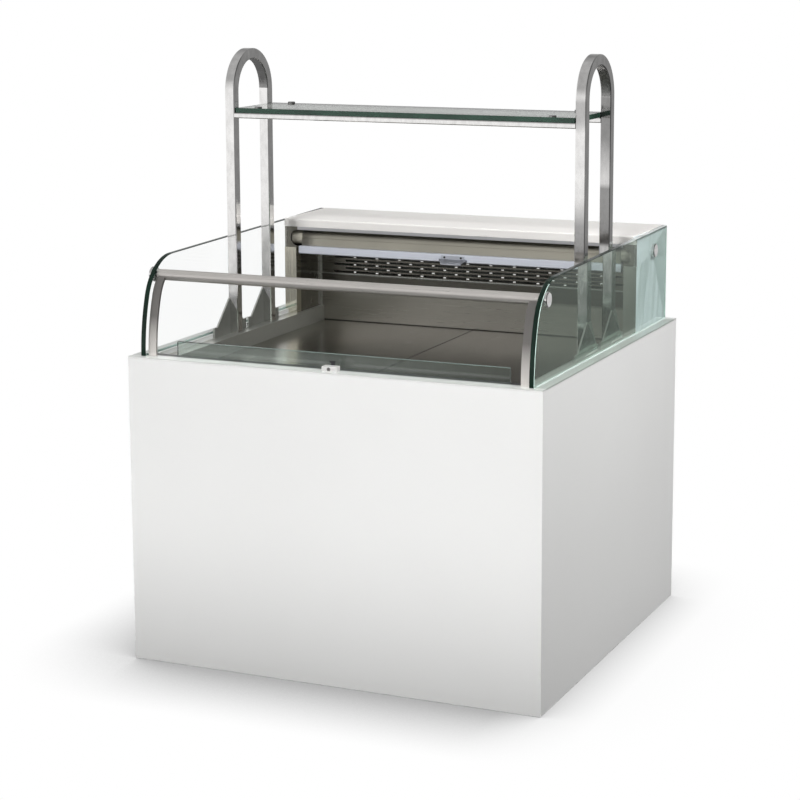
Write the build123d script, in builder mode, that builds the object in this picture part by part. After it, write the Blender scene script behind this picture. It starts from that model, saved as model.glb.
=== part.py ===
"""Refrigerated self-service display cabinet with a roller night blind and a shelf bridge.

Millimetres, +Z up. The origin is on the floor under the middle of the base.
The customer side faces -Y, the service side faces +Y.
"""
import os
from math import asin, cos, degrees, radians, sin, tan

from build123d import *

os.makedirs("parts", exist_ok=True)

# Base cabinet
cabinet_width = 1000.0
cabinet_depth = 960.0
deck_height = 715.0
foot_clearance = 2.0
foot_pad_diameter = 28.0
foot_pad_height = 8.0
foot_stem_diameter = 12.0
foot_inset = 80.0
panel_depth = 18.0
panel_skin = 1.5
frame_bottom = 20.0
frame_tube = 30.0
frame_wall = 2.0
bearer_spacing = 400.0
tray_sheet = 1.5
deck_edge = 3.0
deck_sheet = 2.0

# Refrigerated well and tank
well_side_ledge = 80.0
rim_side_width = 45.0
ledge_drop = 9.0
well_front_ledge = 55.0
well_rear_ledge = 51.0
well_depth = 47.0
tank_depth = 200.0
liner_sheet = 1.5
foam_wall = 22.0
foam_floor = 40.0
floor_sheet = 1.5
floor_lip = 14.0
floor_joint_gap = 2.0
floor_side_gap = 1.5
support_angle = 18.0
support_sheet = 2.0
centre_beam_width = 34.0
centre_beam_height = 20.0
centre_leg_inset = 60.0
return_slot = 45.0
return_slit_length = 30.0
return_slit_width = 6.0
return_slit_pitch = 42.0
riser_height = 31.0
riser_glass_sheet = 6.0
riser_end_gap = 15.0
riser_channel_wall = 2.0
riser_channel_height = 25.0
riser_seat_depth = 15.0

# Side glasses, front rail and blind strips
glass_thickness = 12.0
glass_side_margin = 25.0
glass_front_margin = 15.0
glass_rear_margin = 10.0
glass_lower_radius = 430.0
glass_lower_turn = 18.6
glass_upper_radius = 120.0
glass_top_slope = 1.0
glass_arris = 1.0
rail_diameter = 25.0
rail_edge_distance = 17.0
rail_angle = 50.0
clamp_diameter = 34.0
clamp_height = 7.0
clamp_bevel = 2.0
clamp_stud_diameter = 10.0
clamp_stud_engagement = 18.0
clamp_hole_clearance = 1.0
rear_clamp_from_rear = 109.0
rear_clamp_height = 184.0
strip_inset = 10.0
strip_thickness = 6.0
strip_width = 20.0
strip_glass_gap = 2.0

# Hood over the rear of the well
hood_depth = 233.0
hood_sheet = 2.0
fascia_height = 20.0
fascia_hem = 8.0
fascia_hem_lap = 8.0
fascia_hem_end_gap = 2.0
hood_rear_lip = 18.0
fascia_radius = 4.0
cheek_thickness = 32.0
cheek_skin = 6.0
post_depth = 25.0
post_height = 160.0
post_sheet = 1.5
roller_bay_depth = 62.0
outlet_wall_setback = 138.0
outlet_sheet = 1.5
outlet_rows = 8
outlet_row_pitch = 9.7
outlet_slit_pitch = 63.0
outlet_slit_length = 54.0
outlet_slit_height = 5.5
outlet_first_row = 82.0
outlet_margin = 12.0
drip_edge_depth = 5.0
drip_edge_height = 74.0

# Roller night blind
roller_setback = 31.0
roller_height = 184.0
roller_tube_diameter = 24.0
roller_cap_diameter = 38.0
roller_cap_length = 28.0
roller_pin_diameter = 10.0
roller_pin_length = 7.0
roller_bracket_sheet = 8.0
roller_bracket_depth = 56.0
roller_cover_sheet = 2.0
roller_cover_width = 27.0
roller_cover_gap = 1.5
roll_diameter = 38.0
blind_half_width_margin = 4.0
blind_cloth_margin = 4.0
blind_cloth = 0.8
bar_height = 20.0
bar_depth = 14.0
bar_setback = 1.0
bar_roll_gap = 9.8
bar_edge_radius = 3.0
handle_leaf_width = 62.0
handle_width = 78.0
handle_grip_width = 54.0
handle_sheet = 2.0
handle_fold = 7.0
handle_reach = 14.0
handle_drop = 10.0
handle_hem = 5.0

# Key lock on the front rim
lock_width = 37.0
lock_depth = 21.0
lock_height = 11.0
lock_corner_radius = 2.5
lock_bevel = 1.0
lock_front_margin = 10.0
lock_cylinder_diameter = 9.0
lock_proud = 1.0
lock_cam_sheet = 3.0
lock_cam_reach = 15.0
lock_cam_width = 9.0
key_slit_length = 6.0
key_slit_width = 1.4
key_slit_depth = 5.0

# Shelf bridge
bridge_tube = 25.0
bridge_wall = 2.0
bridge_setback = 8.0
bridge_depth = 200.0
bridge_centre = 13.0
bridge_height = 673.0
bridge_corner = 2.0
gusset_sheet = 4.0
gusset_height = 87.0
gusset_front_reach = 78.0
gusset_rear_reach = 57.0
gusset_nose = 24.0
gusset_flat = 15.0
shelf_height = 536.0
shelf_glass_thickness = 12.0
shelf_end_gap = 2.0
shelf_rail_height = 12.0
stud_end_distance = 58.0
stud_diameter = 18.0
stud_cap_height = 4.0
stud_bevel = 1.2
stud_shank_diameter = 8.0
stud_shank_engagement = 8.0

# Cooling circuit
evaporator_width = 600.0
evaporator_depth = 220.0
evaporator_height = 100.0
evaporator_setback = 48.0
evaporator_foot = 10.0
evaporator_end_plate = 2.0
evaporator_fin_pitch = 24.0
evaporator_fin_groove = 8.0
evaporator_groove_depth = 6.0
fan_plate_setback = 118.0
fan_plate_sheet = 1.5
evaporator_fan_spacing = 380.0
evaporator_fan_diameter = 108.0
evaporator_fan_opening = 122.0
evaporator_motor_diameter = 56.0
evaporator_motor_length = 50.0
motor_strut_width = 12.0
motor_strut_sheet = 3.0
motor_strut_overlap = 12.0
fan_shaft_diameter = 6.0
fan_hub_diameter = 38.0
fan_hub_length = 24.0
fan_plate_to_hub = 6.0
fan_blades = 5
fan_blade_sheet = 2.0
fan_pitch = 66.0
fan_root_chord = 24.0
fan_tip_chord = 34.0
drain_x = -80.0
drain_setback = 35.0
drain_diameter = 32.0
drain_wall = 2.0
drain_flange_diameter = 56.0
drain_flange_sheet = 3.0
drain_end_height = 75.0
drip_tray_width = 260.0
drip_tray_depth = 180.0
drip_tray_height = 45.0
drip_tray_sheet = 1.5
compressor_inset_x = 252.0
compressor_inset_y = 30.0
compressor_diameter = 180.0
compressor_body_height = 130.0
compressor_dome_height = 50.0
compressor_seam = 6.0
compressor_foot_height = 14.0
compressor_foot_diameter = 26.0
compressor_plate_width = 210.0
compressor_plate_depth = 150.0
compressor_plate_sheet = 4.0
compressor_stub_spread = 40.0
compressor_stub_height = 24.0
compressor_stub_diameter = 14.0
condenser_inset_x = 262.0
condenser_inset_y = 95.0
condenser_width = 320.0
condenser_depth = 60.0
condenser_height = 260.0
condenser_fin_pitch = 20.0
condenser_fin_groove = 8.0
condenser_groove_depth = 6.0
shroud_depth = 50.0
shroud_sheet = 1.5
condenser_fan_diameter = 220.0
condenser_fan_clearance = 8.0
condenser_motor_diameter = 74.0
condenser_motor_length = 60.0
pipe_diameter = 10.0
pipe_end_offset = 48.0
pipe_hole_clearance = 3.0
suction_drop = 46.0
pipe_rise = 71.5
liquid_x = -40.0
liquid_setback = 90.0
liquid_under_tank = 58.5
drier_diameter = 30.0
drier_length = 110.0

# Service panel and controls at the rear
louvre_rows = 14
louvre_pitch = 16.0
louvre_length = 130.0
louvre_height = 7.0
louvre_column_gap = 30.0
control_inset = 200.0
control_under_frame = 18.5
control_width = 200.0
control_height = 90.0
control_recess = 30.0
control_sheet = 1.5
control_fit = 0.5
knob_offset = -62.0
knob_diameter = 36.0
knob_height = 15.0
knob_bevel = 2.0
knob_gap = 0.4
knob_shaft_diameter = 6.0
knob_shaft_length = 10.0
switch_width = 22.0
switch_height = 30.0
switch_thickness = 9.0
switch_pin_diameter = 3.0
switch_tilt = 9.0
inlet_offset = 62.0
inlet_width = 48.0
inlet_height = 30.0
inlet_depth = 22.0
inlet_flange = 3.0
inlet_socket_width = 25.0
inlet_socket_height = 17.0
inlet_socket_depth = 16.0
inlet_pin_width = 4.0
inlet_pin_sheet = 2.0
inlet_pin_spread = 14.0
inlet_pin_length = 9.0

# Fits
running_fit = 0.1
moving_gap = 0.5
seat_gap = 0.2

# Places that follow from the sizes above
half_width = cabinet_width / 2
front = -cabinet_depth / 2
rear = cabinet_depth / 2
deck_top = deck_height
deck_under = deck_top - deck_sheet
panel_top = deck_top - deck_edge
panel_height = panel_top - foot_clearance
frame_half_width = half_width - panel_depth
frame_half_depth = cabinet_depth / 2 - panel_depth
tray_bottom = frame_bottom + frame_tube
tray_top = tray_bottom + tray_sheet

well_half = half_width - well_side_ledge
rim_half = half_width - rim_side_width
riser_half_width = well_half - riser_end_gap
well_front = front + well_front_ledge
well_rear = rear - well_rear_ledge
ledge_top = deck_top - ledge_drop
ledge_under = ledge_top - liner_sheet
floor_top = deck_top - well_depth
floor_under = floor_top - floor_sheet
tank_bottom = deck_top - tank_depth
liner_bottom = tank_bottom - liner_sheet
foam_bottom = liner_bottom - foam_floor

glass_outer = half_width - glass_side_margin
glass_inner = glass_outer - glass_thickness
glass_front = front + glass_front_margin
glass_rear = rear - glass_rear_margin
lower_turn = radians(glass_lower_turn)
arc_centre_y = (glass_front + glass_lower_radius
                - (glass_lower_radius - glass_upper_radius) * cos(lower_turn))
arc_centre_z = deck_top + (glass_lower_radius - glass_upper_radius) * sin(lower_turn)
slope = radians(glass_top_slope)
arc_end_y = arc_centre_y - glass_upper_radius * sin(slope)
arc_end_z = arc_centre_z + glass_upper_radius * cos(slope)
glass_top = arc_end_z + (glass_rear - arc_end_y) * tan(slope)
rail_reach = glass_upper_radius - rail_edge_distance
rail_y = arc_centre_y - rail_reach * cos(radians(rail_angle))
rail_z = arc_centre_z + rail_reach * sin(radians(rail_angle))
rear_clamp_y = glass_rear - rear_clamp_from_rear
rear_clamp_z = deck_top + rear_clamp_height

hood_front = glass_rear - hood_depth
hood_top_z = glass_top
hood_under = hood_top_z - hood_sheet
cheek_inner = glass_inner - cheek_thickness
post_top = deck_top + post_height
outlet_y = hood_front + outlet_wall_setback
roller_y = hood_front + roller_setback
roller_z = deck_top + roller_height
roller_bracket_x = glass_inner - cheek_skin
roller_end = roller_bracket_x - roller_bracket_sheet - moving_gap

bridge_inner = well_half + bridge_setback
bridge_outer = bridge_inner + bridge_tube
bridge_radius = bridge_depth / 2
bridge_spring = deck_top + bridge_height - bridge_radius
bridge_front = bridge_centre - bridge_radius
bridge_rear = bridge_centre + bridge_radius
shelf_top = deck_top + shelf_height
shelf_under = shelf_top - shelf_glass_thickness
stud_x = bridge_inner - stud_end_distance
stud_ys = (bridge_front + bridge_tube / 2, bridge_rear - bridge_tube / 2)

well_middle = (well_front + well_rear) / 2
well_length = well_rear - well_front
floor_front = well_front + return_slot
evaporator_centre_y = well_middle + evaporator_setback
evaporator_front = evaporator_centre_y - evaporator_depth / 2
evaporator_back = evaporator_centre_y + evaporator_depth / 2
fan_plate_y = floor_front + fan_plate_setback
drain_y = floor_front + drain_setback
compressor_x = -(frame_half_width - compressor_inset_x)
compressor_y = evaporator_back - compressor_inset_y
condenser_x = frame_half_width - condenser_inset_x
condenser_y = rear - condenser_inset_y
liquid_y = evaporator_back + liquid_setback
liquid_level = foam_bottom - liquid_under_tank
control_x = -(half_width - control_inset)
control_z = foam_bottom - frame_tube - control_under_frame - control_height / 2

bar_half = bridge_inner - blind_half_width_margin
cloth_half = bar_half - blind_cloth_margin
bar_front = hood_front + bar_setback
bar_back = bar_front + bar_depth
bar_offset = roller_y - bar_back
bar_top = roller_z - ((roll_diameter / 2) ** 2 - bar_offset ** 2) ** 0.5 - bar_roll_gap
bar_bottom = bar_top - bar_height
bar_middle = (bar_top + bar_bottom) / 2

SIDES = {"left": -1, "right": 1}


def save(piece, node):
    """Label a finished piece and write it under its node's name."""
    piece.part.label = node
    export_step(piece.part, f"parts/{node}.step")


def block(x, y, z, mode=Mode.ADD):
    """A rectangular block between two limits on each axis."""
    limits = (x, y, z)
    with Locations(tuple((low + high) / 2 for low, high in limits)):
        Box(*(abs(high - low) for low, high in limits), mode=mode)


def facing_rear(y):
    """A plane across the cabinet that looks to the rear; its axes are -X and Z."""
    return Plane(origin=(0, y, 0), x_dir=(-1, 0, 0), z_dir=(0, 1, 0))


def facing_front(y):
    """A plane across the cabinet that looks to the customer; its axes are X and Z."""
    return Plane(origin=(0, y, 0), x_dir=(1, 0, 0), z_dir=(0, -1, 0))


# Cladding panels: folded pans, mitred where they meet at the corners
def cladding_panel(corner, along, length):
    plane = Plane(origin=corner, x_dir=along, z_dir=(0, 0, 1))
    pocket_depth = panel_depth - panel_skin
    with BuildPart() as panel:
        with BuildSketch(plane):
            with BuildLine():
                Polyline(
                    (-length / 2, 0),
                    (length / 2, 0),
                    (length / 2 - panel_depth, panel_depth),
                    (-length / 2 + panel_depth, panel_depth),
                    close=True,
                )
            make_face()
        extrude(amount=panel_height)
        with BuildSketch(plane.offset(panel_skin)):
            with Locations((0, panel_skin + pocket_depth / 2)):
                Rectangle(length - 2 * (panel_depth + panel_skin), pocket_depth)
        extrude(amount=panel_height - 2 * panel_skin, mode=Mode.SUBTRACT)
    return panel


save(cladding_panel((0, front, foot_clearance), (1, 0, 0), cabinet_width), "front_panel")
for side_name, side in SIDES.items():
    side_panel = cladding_panel((side * half_width, 0, foot_clearance), (0, side, 0), cabinet_depth)
    save(side_panel, f"{side_name}_side_panel")

louvre_z = tray_top + condenser_height / 2
rear_blank = cladding_panel((0, rear, foot_clearance), (-1, 0, 0), cabinet_width)
with BuildPart() as rear_panel:
    add(rear_blank.part)
    with BuildSketch(facing_rear(rear)):
        with Locations((-condenser_x, louvre_z)):
            with GridLocations(louvre_length + louvre_column_gap, louvre_pitch, 2, louvre_rows):
                Rectangle(louvre_length, louvre_height)
        with Locations((-control_x, control_z)):
            Rectangle(control_width + 2 * control_fit, control_height + 2 * control_fit)
    extrude(amount=-panel_depth, mode=Mode.SUBTRACT)
save(rear_panel, "rear_panel")

# Welded frame of folded channels, corner posts and tank bearers
with BuildPart() as base_frame:
    for ring_bottom in (frame_bottom, foam_bottom - frame_tube):
        with BuildSketch(Plane.XY.offset(ring_bottom)):
            Rectangle(2 * frame_half_width, 2 * frame_half_depth)
            Rectangle(
                2 * (frame_half_width - frame_tube),
                2 * (frame_half_depth - frame_tube),
                mode=Mode.SUBTRACT,
            )
        extrude(amount=frame_tube)
        with BuildSketch(Plane.XY.offset(ring_bottom + frame_wall)):
            Rectangle(2 * (frame_half_width - frame_wall), 2 * (frame_half_depth - frame_wall))
        extrude(amount=frame_tube - 2 * frame_wall, mode=Mode.SUBTRACT)
    with BuildSketch(Plane.XY.offset(frame_bottom)):
        with GridLocations(2 * frame_half_width - frame_tube, 2 * frame_half_depth - frame_tube, 2, 2):
            Rectangle(frame_tube, frame_tube)
    extrude(amount=deck_under - frame_bottom)
    with BuildSketch(Plane.XY.offset(foam_bottom - frame_tube)):
        with GridLocations(1, bearer_spacing, 1, 2):
            Rectangle(2 * (frame_half_width - frame_tube), frame_tube)
    extrude(amount=frame_tube)
save(base_frame, "base_frame")

with BuildPart() as bottom_tray:
    with BuildSketch(Plane.XY.offset(tray_bottom)):
        Rectangle(2 * frame_half_width - frame_tube, 2 * frame_half_depth - frame_tube)
        with GridLocations(2 * frame_half_width - frame_tube, 2 * frame_half_depth - frame_tube, 2, 2):
            Rectangle(frame_tube + 2 * seat_gap, frame_tube + 2 * seat_gap, mode=Mode.SUBTRACT)
    extrude(amount=tray_sheet)
save(bottom_tray, "bottom_tray")

foot_span_x = 2 * frame_half_width - frame_tube
foot_span_y = 2 * frame_half_depth - 2 * foot_inset
with BuildPart() as levelling_feet:
    with BuildSketch(Plane.XY):
        with GridLocations(foot_span_x, foot_span_y, 2, 2):
            Circle(foot_pad_diameter / 2)
    extrude(amount=foot_pad_height)
    with BuildSketch(Plane.XY.offset(foot_pad_height)):
        with GridLocations(foot_span_x, foot_span_y, 2, 2):
            Circle(foot_stem_diameter / 2)
    extrude(amount=frame_bottom - foot_pad_height)
save(levelling_feet, "levelling_feet")

# Stainless deck round the well, with its turned-down outer edge
with BuildPart() as deck_frame:
    with BuildSketch(Plane.XY.offset(panel_top)):
        Rectangle(cabinet_width, cabinet_depth)
    extrude(amount=deck_edge)
    with BuildSketch(Plane.XY.offset(panel_top)):
        Rectangle(cabinet_width - 2 * deck_sheet, cabinet_depth - 2 * deck_sheet)
    extrude(amount=deck_edge - deck_sheet, mode=Mode.SUBTRACT)
    with BuildSketch(Plane.XY.offset(panel_top)):
        with Locations((0, well_middle)):
            Rectangle(2 * rim_half, well_length)
    extrude(amount=deck_edge, mode=Mode.SUBTRACT)
save(deck_frame, "deck_frame")

# Tank: stainless liner in a foam shell, with sunk ledges at its sides and holes for drain and pipes
evaporator_left = -evaporator_width / 2 - evaporator_end_plate
suction_x = evaporator_left - suction_drop
tank_hole_sites = {
    (drain_x, drain_y): drain_diameter / 2 + seat_gap,
    (suction_x, compressor_y): pipe_diameter / 2 + pipe_hole_clearance,
    (liquid_x, liquid_y): pipe_diameter / 2 + pipe_hole_clearance,
}


def tub(inner_bottom, wall, floor, grow):
    """An open tub up to the side ledges; grow is how far its inside stands off the well."""
    with BuildPart() as shell:
        with BuildSketch(Plane.XY.offset(inner_bottom - floor)):
            with Locations((0, well_middle)):
                Rectangle(2 * (well_half + grow + wall), well_length + 2 * (grow + wall))
        extrude(amount=ledge_under - inner_bottom + floor)
        with BuildSketch(Plane.XY.offset(inner_bottom)):
            with Locations((0, well_middle)):
                Rectangle(2 * (well_half + grow), well_length + 2 * grow)
        extrude(amount=ledge_under - inner_bottom, mode=Mode.SUBTRACT)
        with BuildSketch(Plane.XY.offset(inner_bottom)):
            for site, radius in tank_hole_sites.items():
                with Locations(site):
                    Circle(radius)
        extrude(amount=-floor, mode=Mode.SUBTRACT)
    return shell


liner_tub = tub(tank_bottom, liner_sheet, liner_sheet, 0)
with BuildPart() as tank_liner:
    add(liner_tub.part)
    block((-rim_half - liner_sheet, rim_half + liner_sheet), (well_front - liner_sheet, well_rear + liner_sheet),
          (ledge_under, deck_under))
    block((-rim_half, rim_half), (well_front, well_rear), (ledge_top, deck_under), mode=Mode.SUBTRACT)
    block((-well_half, well_half), (well_front, well_rear), (tank_bottom, deck_under), mode=Mode.SUBTRACT)
save(tank_liner, "tank_liner")
save(tub(liner_bottom, foam_wall, foam_floor, liner_sheet), "tank_insulation")

# Display floor: two plates that meet in the middle, on angles and a centre beam
floor_rear = outlet_y - seat_gap
floor_outer = well_half - floor_side_gap
for side_name, side in SIDES.items():
    with BuildPart() as floor_plate:
        block((side * floor_joint_gap / 2, side * floor_outer), (floor_front, floor_rear),
              (floor_under, floor_top))
        block((side * floor_joint_gap / 2, side * (floor_outer - support_angle - seat_gap)),
              (floor_front, floor_front + floor_sheet), (floor_under - floor_lip, floor_under))
        block((side * (centre_beam_width / 2 + seat_gap),
               side * (centre_beam_width / 2 + seat_gap + floor_sheet)),
              (floor_front, floor_rear), (floor_under - floor_lip, floor_under))
    save(floor_plate, f"{side_name}_floor_plate")

beam_front = floor_front + floor_sheet + seat_gap
beam_rear = floor_rear - seat_gap
with BuildPart() as floor_supports:
    for side in SIDES.values():
        with BuildSketch(Plane.XZ.offset(-well_front)):
            with BuildLine():
                Polyline(
                    (side * well_half, floor_under),
                    (side * (well_half - support_angle), floor_under),
                    (side * (well_half - support_angle), floor_under - support_sheet),
                    (side * (well_half - support_sheet), floor_under - support_sheet),
                    (side * (well_half - support_sheet), floor_under - support_angle),
                    (side * well_half, floor_under - support_angle),
                    close=True,
                )
            make_face()
        extrude(amount=-(floor_rear - well_front))
    block((-centre_beam_width / 2, centre_beam_width / 2), (beam_front, beam_rear),
          (floor_under - centre_beam_height, floor_under))
    for leg_y in (beam_front + centre_leg_inset, beam_rear - centre_leg_inset):
        block((-centre_beam_height / 2, centre_beam_height / 2),
              (leg_y - centre_beam_height / 2, leg_y + centre_beam_height / 2),
              (tank_bottom, floor_under - centre_beam_height))
save(floor_supports, "floor_supports")

# Slotted return-air strip in front of the floor plates
return_rear = floor_front - seat_gap
return_middle = (well_front + return_rear) / 2
return_count = int(2 * (riser_half_width - return_slit_length) // return_slit_pitch)
with BuildPart() as return_air_strip:
    block((-floor_outer, floor_outer), (well_front, return_rear), (floor_under, floor_top))
    with BuildSketch(Plane.XY.offset(floor_under)):
        with Locations((0, return_middle + return_slit_width)):
            with GridLocations(return_slit_pitch, 2 * return_slit_width, return_count, 2):
                Rectangle(return_slit_length, return_slit_width)
    extrude(amount=floor_sheet, mode=Mode.SUBTRACT)
save(return_air_strip, "return_air_strip")

# Low glass riser in its channel on the front wall of the well
riser_bottom = floor_top + riser_channel_wall
channel_back = well_front + riser_glass_sheet + 2 * (riser_channel_wall + seat_gap)
glass_riser_front = well_front + riser_channel_wall + seat_gap
with BuildPart() as riser_channel:
    block((-riser_half_width, riser_half_width), (well_front, channel_back),
          (floor_top, floor_top + riser_channel_height))
    block((-riser_half_width, riser_half_width),
          (well_front + riser_channel_wall, channel_back - riser_channel_wall),
          (riser_bottom, floor_top + riser_channel_height), mode=Mode.SUBTRACT)
save(riser_channel, "riser_channel")

with BuildPart() as riser_glass:
    block((-riser_half_width, riser_half_width),
          (glass_riser_front, glass_riser_front + riser_glass_sheet),
          (riser_bottom, deck_top + riser_height))
    fillet(riser_glass.edges().filter_by(Axis.Y).group_by(Axis.Z)[-1], radius=glass_arris * 3)
    chamfer(riser_glass.edges().filter_by(Axis.X).group_by(Axis.Z)[-1], length=glass_arris)
save(riser_glass, "riser_glass")

# Side glasses: a long gentle arc, a tighter one and a nearly level top edge
clamp_sites = ((rail_y, rail_z), (rear_clamp_y, rear_clamp_z))
for side_name, side in SIDES.items():
    with BuildPart() as side_glass:
        with BuildSketch(Plane.YZ.offset(side * glass_inner)):
            with BuildLine():
                lower = JernArc((glass_front, deck_top), (0, 1), glass_lower_radius, -glass_lower_turn)
                upper = JernArc(lower @ 1, lower % 1, glass_upper_radius,
                                -(90 - glass_lower_turn - glass_top_slope))
                Polyline(upper @ 1, (glass_rear, glass_top), (glass_rear, deck_top), lower @ 0)
            make_face()
        extrude(amount=side * glass_thickness)
        outline = side_glass.edges().filter_by(Axis.X, reverse=True)
        chamfer(outline, length=glass_arris)
        with BuildSketch(Plane.YZ.offset(side * glass_inner)):
            with Locations(*clamp_sites):
                Circle((clamp_stud_diameter + clamp_hole_clearance) / 2)
        extrude(amount=side * glass_thickness, mode=Mode.SUBTRACT)
    save(side_glass, f"{side_name}_side_glass")

with BuildPart() as front_rail:
    with BuildSketch(Plane.YZ.offset(-glass_inner)):
        with Locations((rail_y, rail_z)):
            Circle(rail_diameter / 2)
    extrude(amount=2 * glass_inner)
    for side in SIDES.values():
        with BuildSketch(Plane.YZ.offset(side * glass_inner)):
            with Locations((rail_y, rail_z)):
                Circle(clamp_stud_diameter / 2 + running_fit)
        extrude(amount=-side * clamp_stud_engagement, mode=Mode.SUBTRACT)
save(front_rail, "front_rail")

with BuildPart() as glass_clamps:
    for side in SIDES.values():
        with BuildSketch(Plane.YZ.offset(side * glass_outer)):
            with Locations(*clamp_sites):
                Circle(clamp_diameter / 2)
        extrude(amount=side * clamp_height)
    for end in (0, -1):
        chamfer(glass_clamps.edges().group_by(Axis.X)[end], length=clamp_bevel)
    for side in SIDES.values():
        with BuildSketch(Plane.YZ.offset(side * glass_outer)):
            with Locations(*clamp_sites):
                Circle(clamp_stud_diameter / 2)
        extrude(amount=-side * (glass_thickness + clamp_stud_engagement - seat_gap))
save(glass_clamps, "glass_clamps")

# Curved strips that the blind lies on, from the rail down to the deck
strip_inner_radius = glass_upper_radius - strip_inset - strip_thickness
rail_half_angle = degrees(asin((rail_diameter / 2 + seat_gap) / strip_inner_radius))
strip_turn = rail_angle - rail_half_angle - glass_lower_turn
for side_name, side in SIDES.items():
    strip_x = side * (glass_inner - strip_glass_gap)
    with BuildPart() as blind_strip:
        with BuildSketch(Plane.YZ.offset(strip_x)):
            with BuildLine():
                ends = []
                for inset in (strip_inset, strip_inset + strip_thickness):
                    low = JernArc((glass_front + inset, deck_top), (0, 1),
                                  glass_lower_radius - inset, -glass_lower_turn)
                    high = JernArc(low @ 1, low % 1, glass_upper_radius - inset, -strip_turn)
                    ends.append((low @ 0, high @ 1))
                Line(ends[0][0], ends[1][0])
                Line(ends[0][1], ends[1][1])
            make_face()
        extrude(amount=-side * strip_width)
    save(blind_strip, f"{side_name}_blind_strip")

# Hood cheeks with the roller bay notched out, and the stainless posts in front
for side_name, side in SIDES.items():
    with BuildPart() as hood_cheek:
        for near, far, bay_rear in (
            (cheek_inner, roller_bracket_x, hood_front + roller_bay_depth),
            (roller_bracket_x, glass_inner, hood_front + hood_sheet),
        ):
            with BuildSketch(Plane.YZ.offset(side * near)):
                with BuildLine():
                    Polyline(
                        (hood_front + post_depth, deck_top),
                        (glass_rear, deck_top),
                        (glass_rear, hood_under),
                        (bay_rear, hood_under),
                        (bay_rear, post_top),
                        (hood_front + post_depth, post_top),
                        close=True,
                    )
                make_face()
            extrude(amount=side * (far - near))
        block((side * cheek_inner, side * (rim_half - seat_gap)), (hood_front + post_depth, well_rear - seat_gap),
              (ledge_top, deck_top))
        with BuildSketch(Plane.YZ.offset(side * glass_inner)):
            with Locations((rear_clamp_y, rear_clamp_z)):
                Circle(clamp_stud_diameter / 2 + running_fit)
        extrude(amount=-side * clamp_stud_engagement, mode=Mode.SUBTRACT)
    save(hood_cheek, f"{side_name}_hood_cheek")

    with BuildPart() as hood_post:
        block((side * cheek_inner, side * glass_inner), (hood_front, hood_front + post_depth),
              (deck_top, post_top))
        block((side * cheek_inner, side * (rim_half - seat_gap)), (hood_front, hood_front + post_depth),
              (ledge_top, deck_top))
        block((side * (cheek_inner + post_sheet), side * (glass_inner - post_sheet)),
              (hood_front + post_sheet, hood_front + post_depth),
              (deck_top, post_top - post_sheet), mode=Mode.SUBTRACT)
        block((side * (cheek_inner + post_sheet), side * (rim_half - seat_gap - post_sheet)),
              (hood_front + post_sheet, hood_front + post_depth), (ledge_top, deck_top), mode=Mode.SUBTRACT)
    save(hood_post, f"{side_name}_hood_post")

hood_half = glass_inner - seat_gap
with BuildPart() as hood_top:
    with BuildSketch(Plane.YZ.offset(-hood_half)):
        with BuildLine():
            Polyline(
                (hood_front, hood_top_z - fascia_height),
                (hood_front, hood_top_z),
                (glass_rear + hood_sheet, hood_top_z),
                (glass_rear + hood_sheet, hood_top_z - hood_rear_lip),
                (glass_rear + seat_gap, hood_top_z - hood_rear_lip),
                (glass_rear + seat_gap, hood_under),
                (hood_front + hood_sheet, hood_under),
                (hood_front + hood_sheet, hood_top_z - fascia_height),
                close=True,
            )
        make_face()
    extrude(amount=2 * hood_half)
    nose = hood_top.edges().filter_by(Axis.X).group_by(Axis.Z)[-1].sort_by(Axis.Y)[0]
    fillet(nose, radius=fascia_radius)
    hem_half = roller_bracket_x - roller_cover_width - fascia_hem_end_gap
    fascia_bottom = hood_top_z - fascia_height
    block((-hem_half, hem_half), (hood_front + hood_sheet, hood_front + 2 * hood_sheet),
          (fascia_bottom - fascia_hem, fascia_bottom + fascia_hem_lap))
save(hood_top, "hood_top")

hood_rear_inner = cheek_inner - seat_gap
with BuildPart() as hood_rear_panel:
    block((-hood_rear_inner, hood_rear_inner), (glass_rear - panel_depth, glass_rear), (deck_top, hood_under))
    block((-hood_rear_inner + panel_skin, hood_rear_inner - panel_skin),
          (glass_rear - panel_depth, glass_rear - panel_skin),
          (deck_top + panel_skin, hood_under - panel_skin), mode=Mode.SUBTRACT)
save(hood_rear_panel, "hood_rear_panel")

# Air outlet wall: staggered rows of long slits over a folded drip edge
outlet_half = well_half - seat_gap
outlet_wide = cheek_inner - seat_gap
outlet_shoulder = ledge_top + seat_gap
outlet_count = int((2 * outlet_half - 2 * outlet_margin - outlet_slit_pitch / 2) // outlet_slit_pitch)
with BuildPart() as air_outlet_wall:
    block((-outlet_half, outlet_half), (outlet_y, outlet_y + outlet_sheet), (floor_under, outlet_shoulder))
    block((-outlet_wide, outlet_wide), (outlet_y, outlet_y + outlet_sheet), (outlet_shoulder, hood_under))
    block((-outlet_wide, outlet_wide), (outlet_y - drip_edge_depth, outlet_y),
          (deck_top + drip_edge_height - outlet_sheet, deck_top + drip_edge_height))
    with BuildSketch(facing_front(outlet_y)):
        for row in range(outlet_rows):
            shift = outlet_slit_pitch / 4 * (1 if row % 2 else -1)
            with Locations((shift, deck_top + outlet_first_row + row * outlet_row_pitch)):
                with GridLocations(outlet_slit_pitch, 1, outlet_count, 1):
                    Rectangle(outlet_slit_length, outlet_slit_height)
    extrude(amount=-outlet_sheet, mode=Mode.SUBTRACT)
save(air_outlet_wall, "air_outlet_wall")

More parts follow.
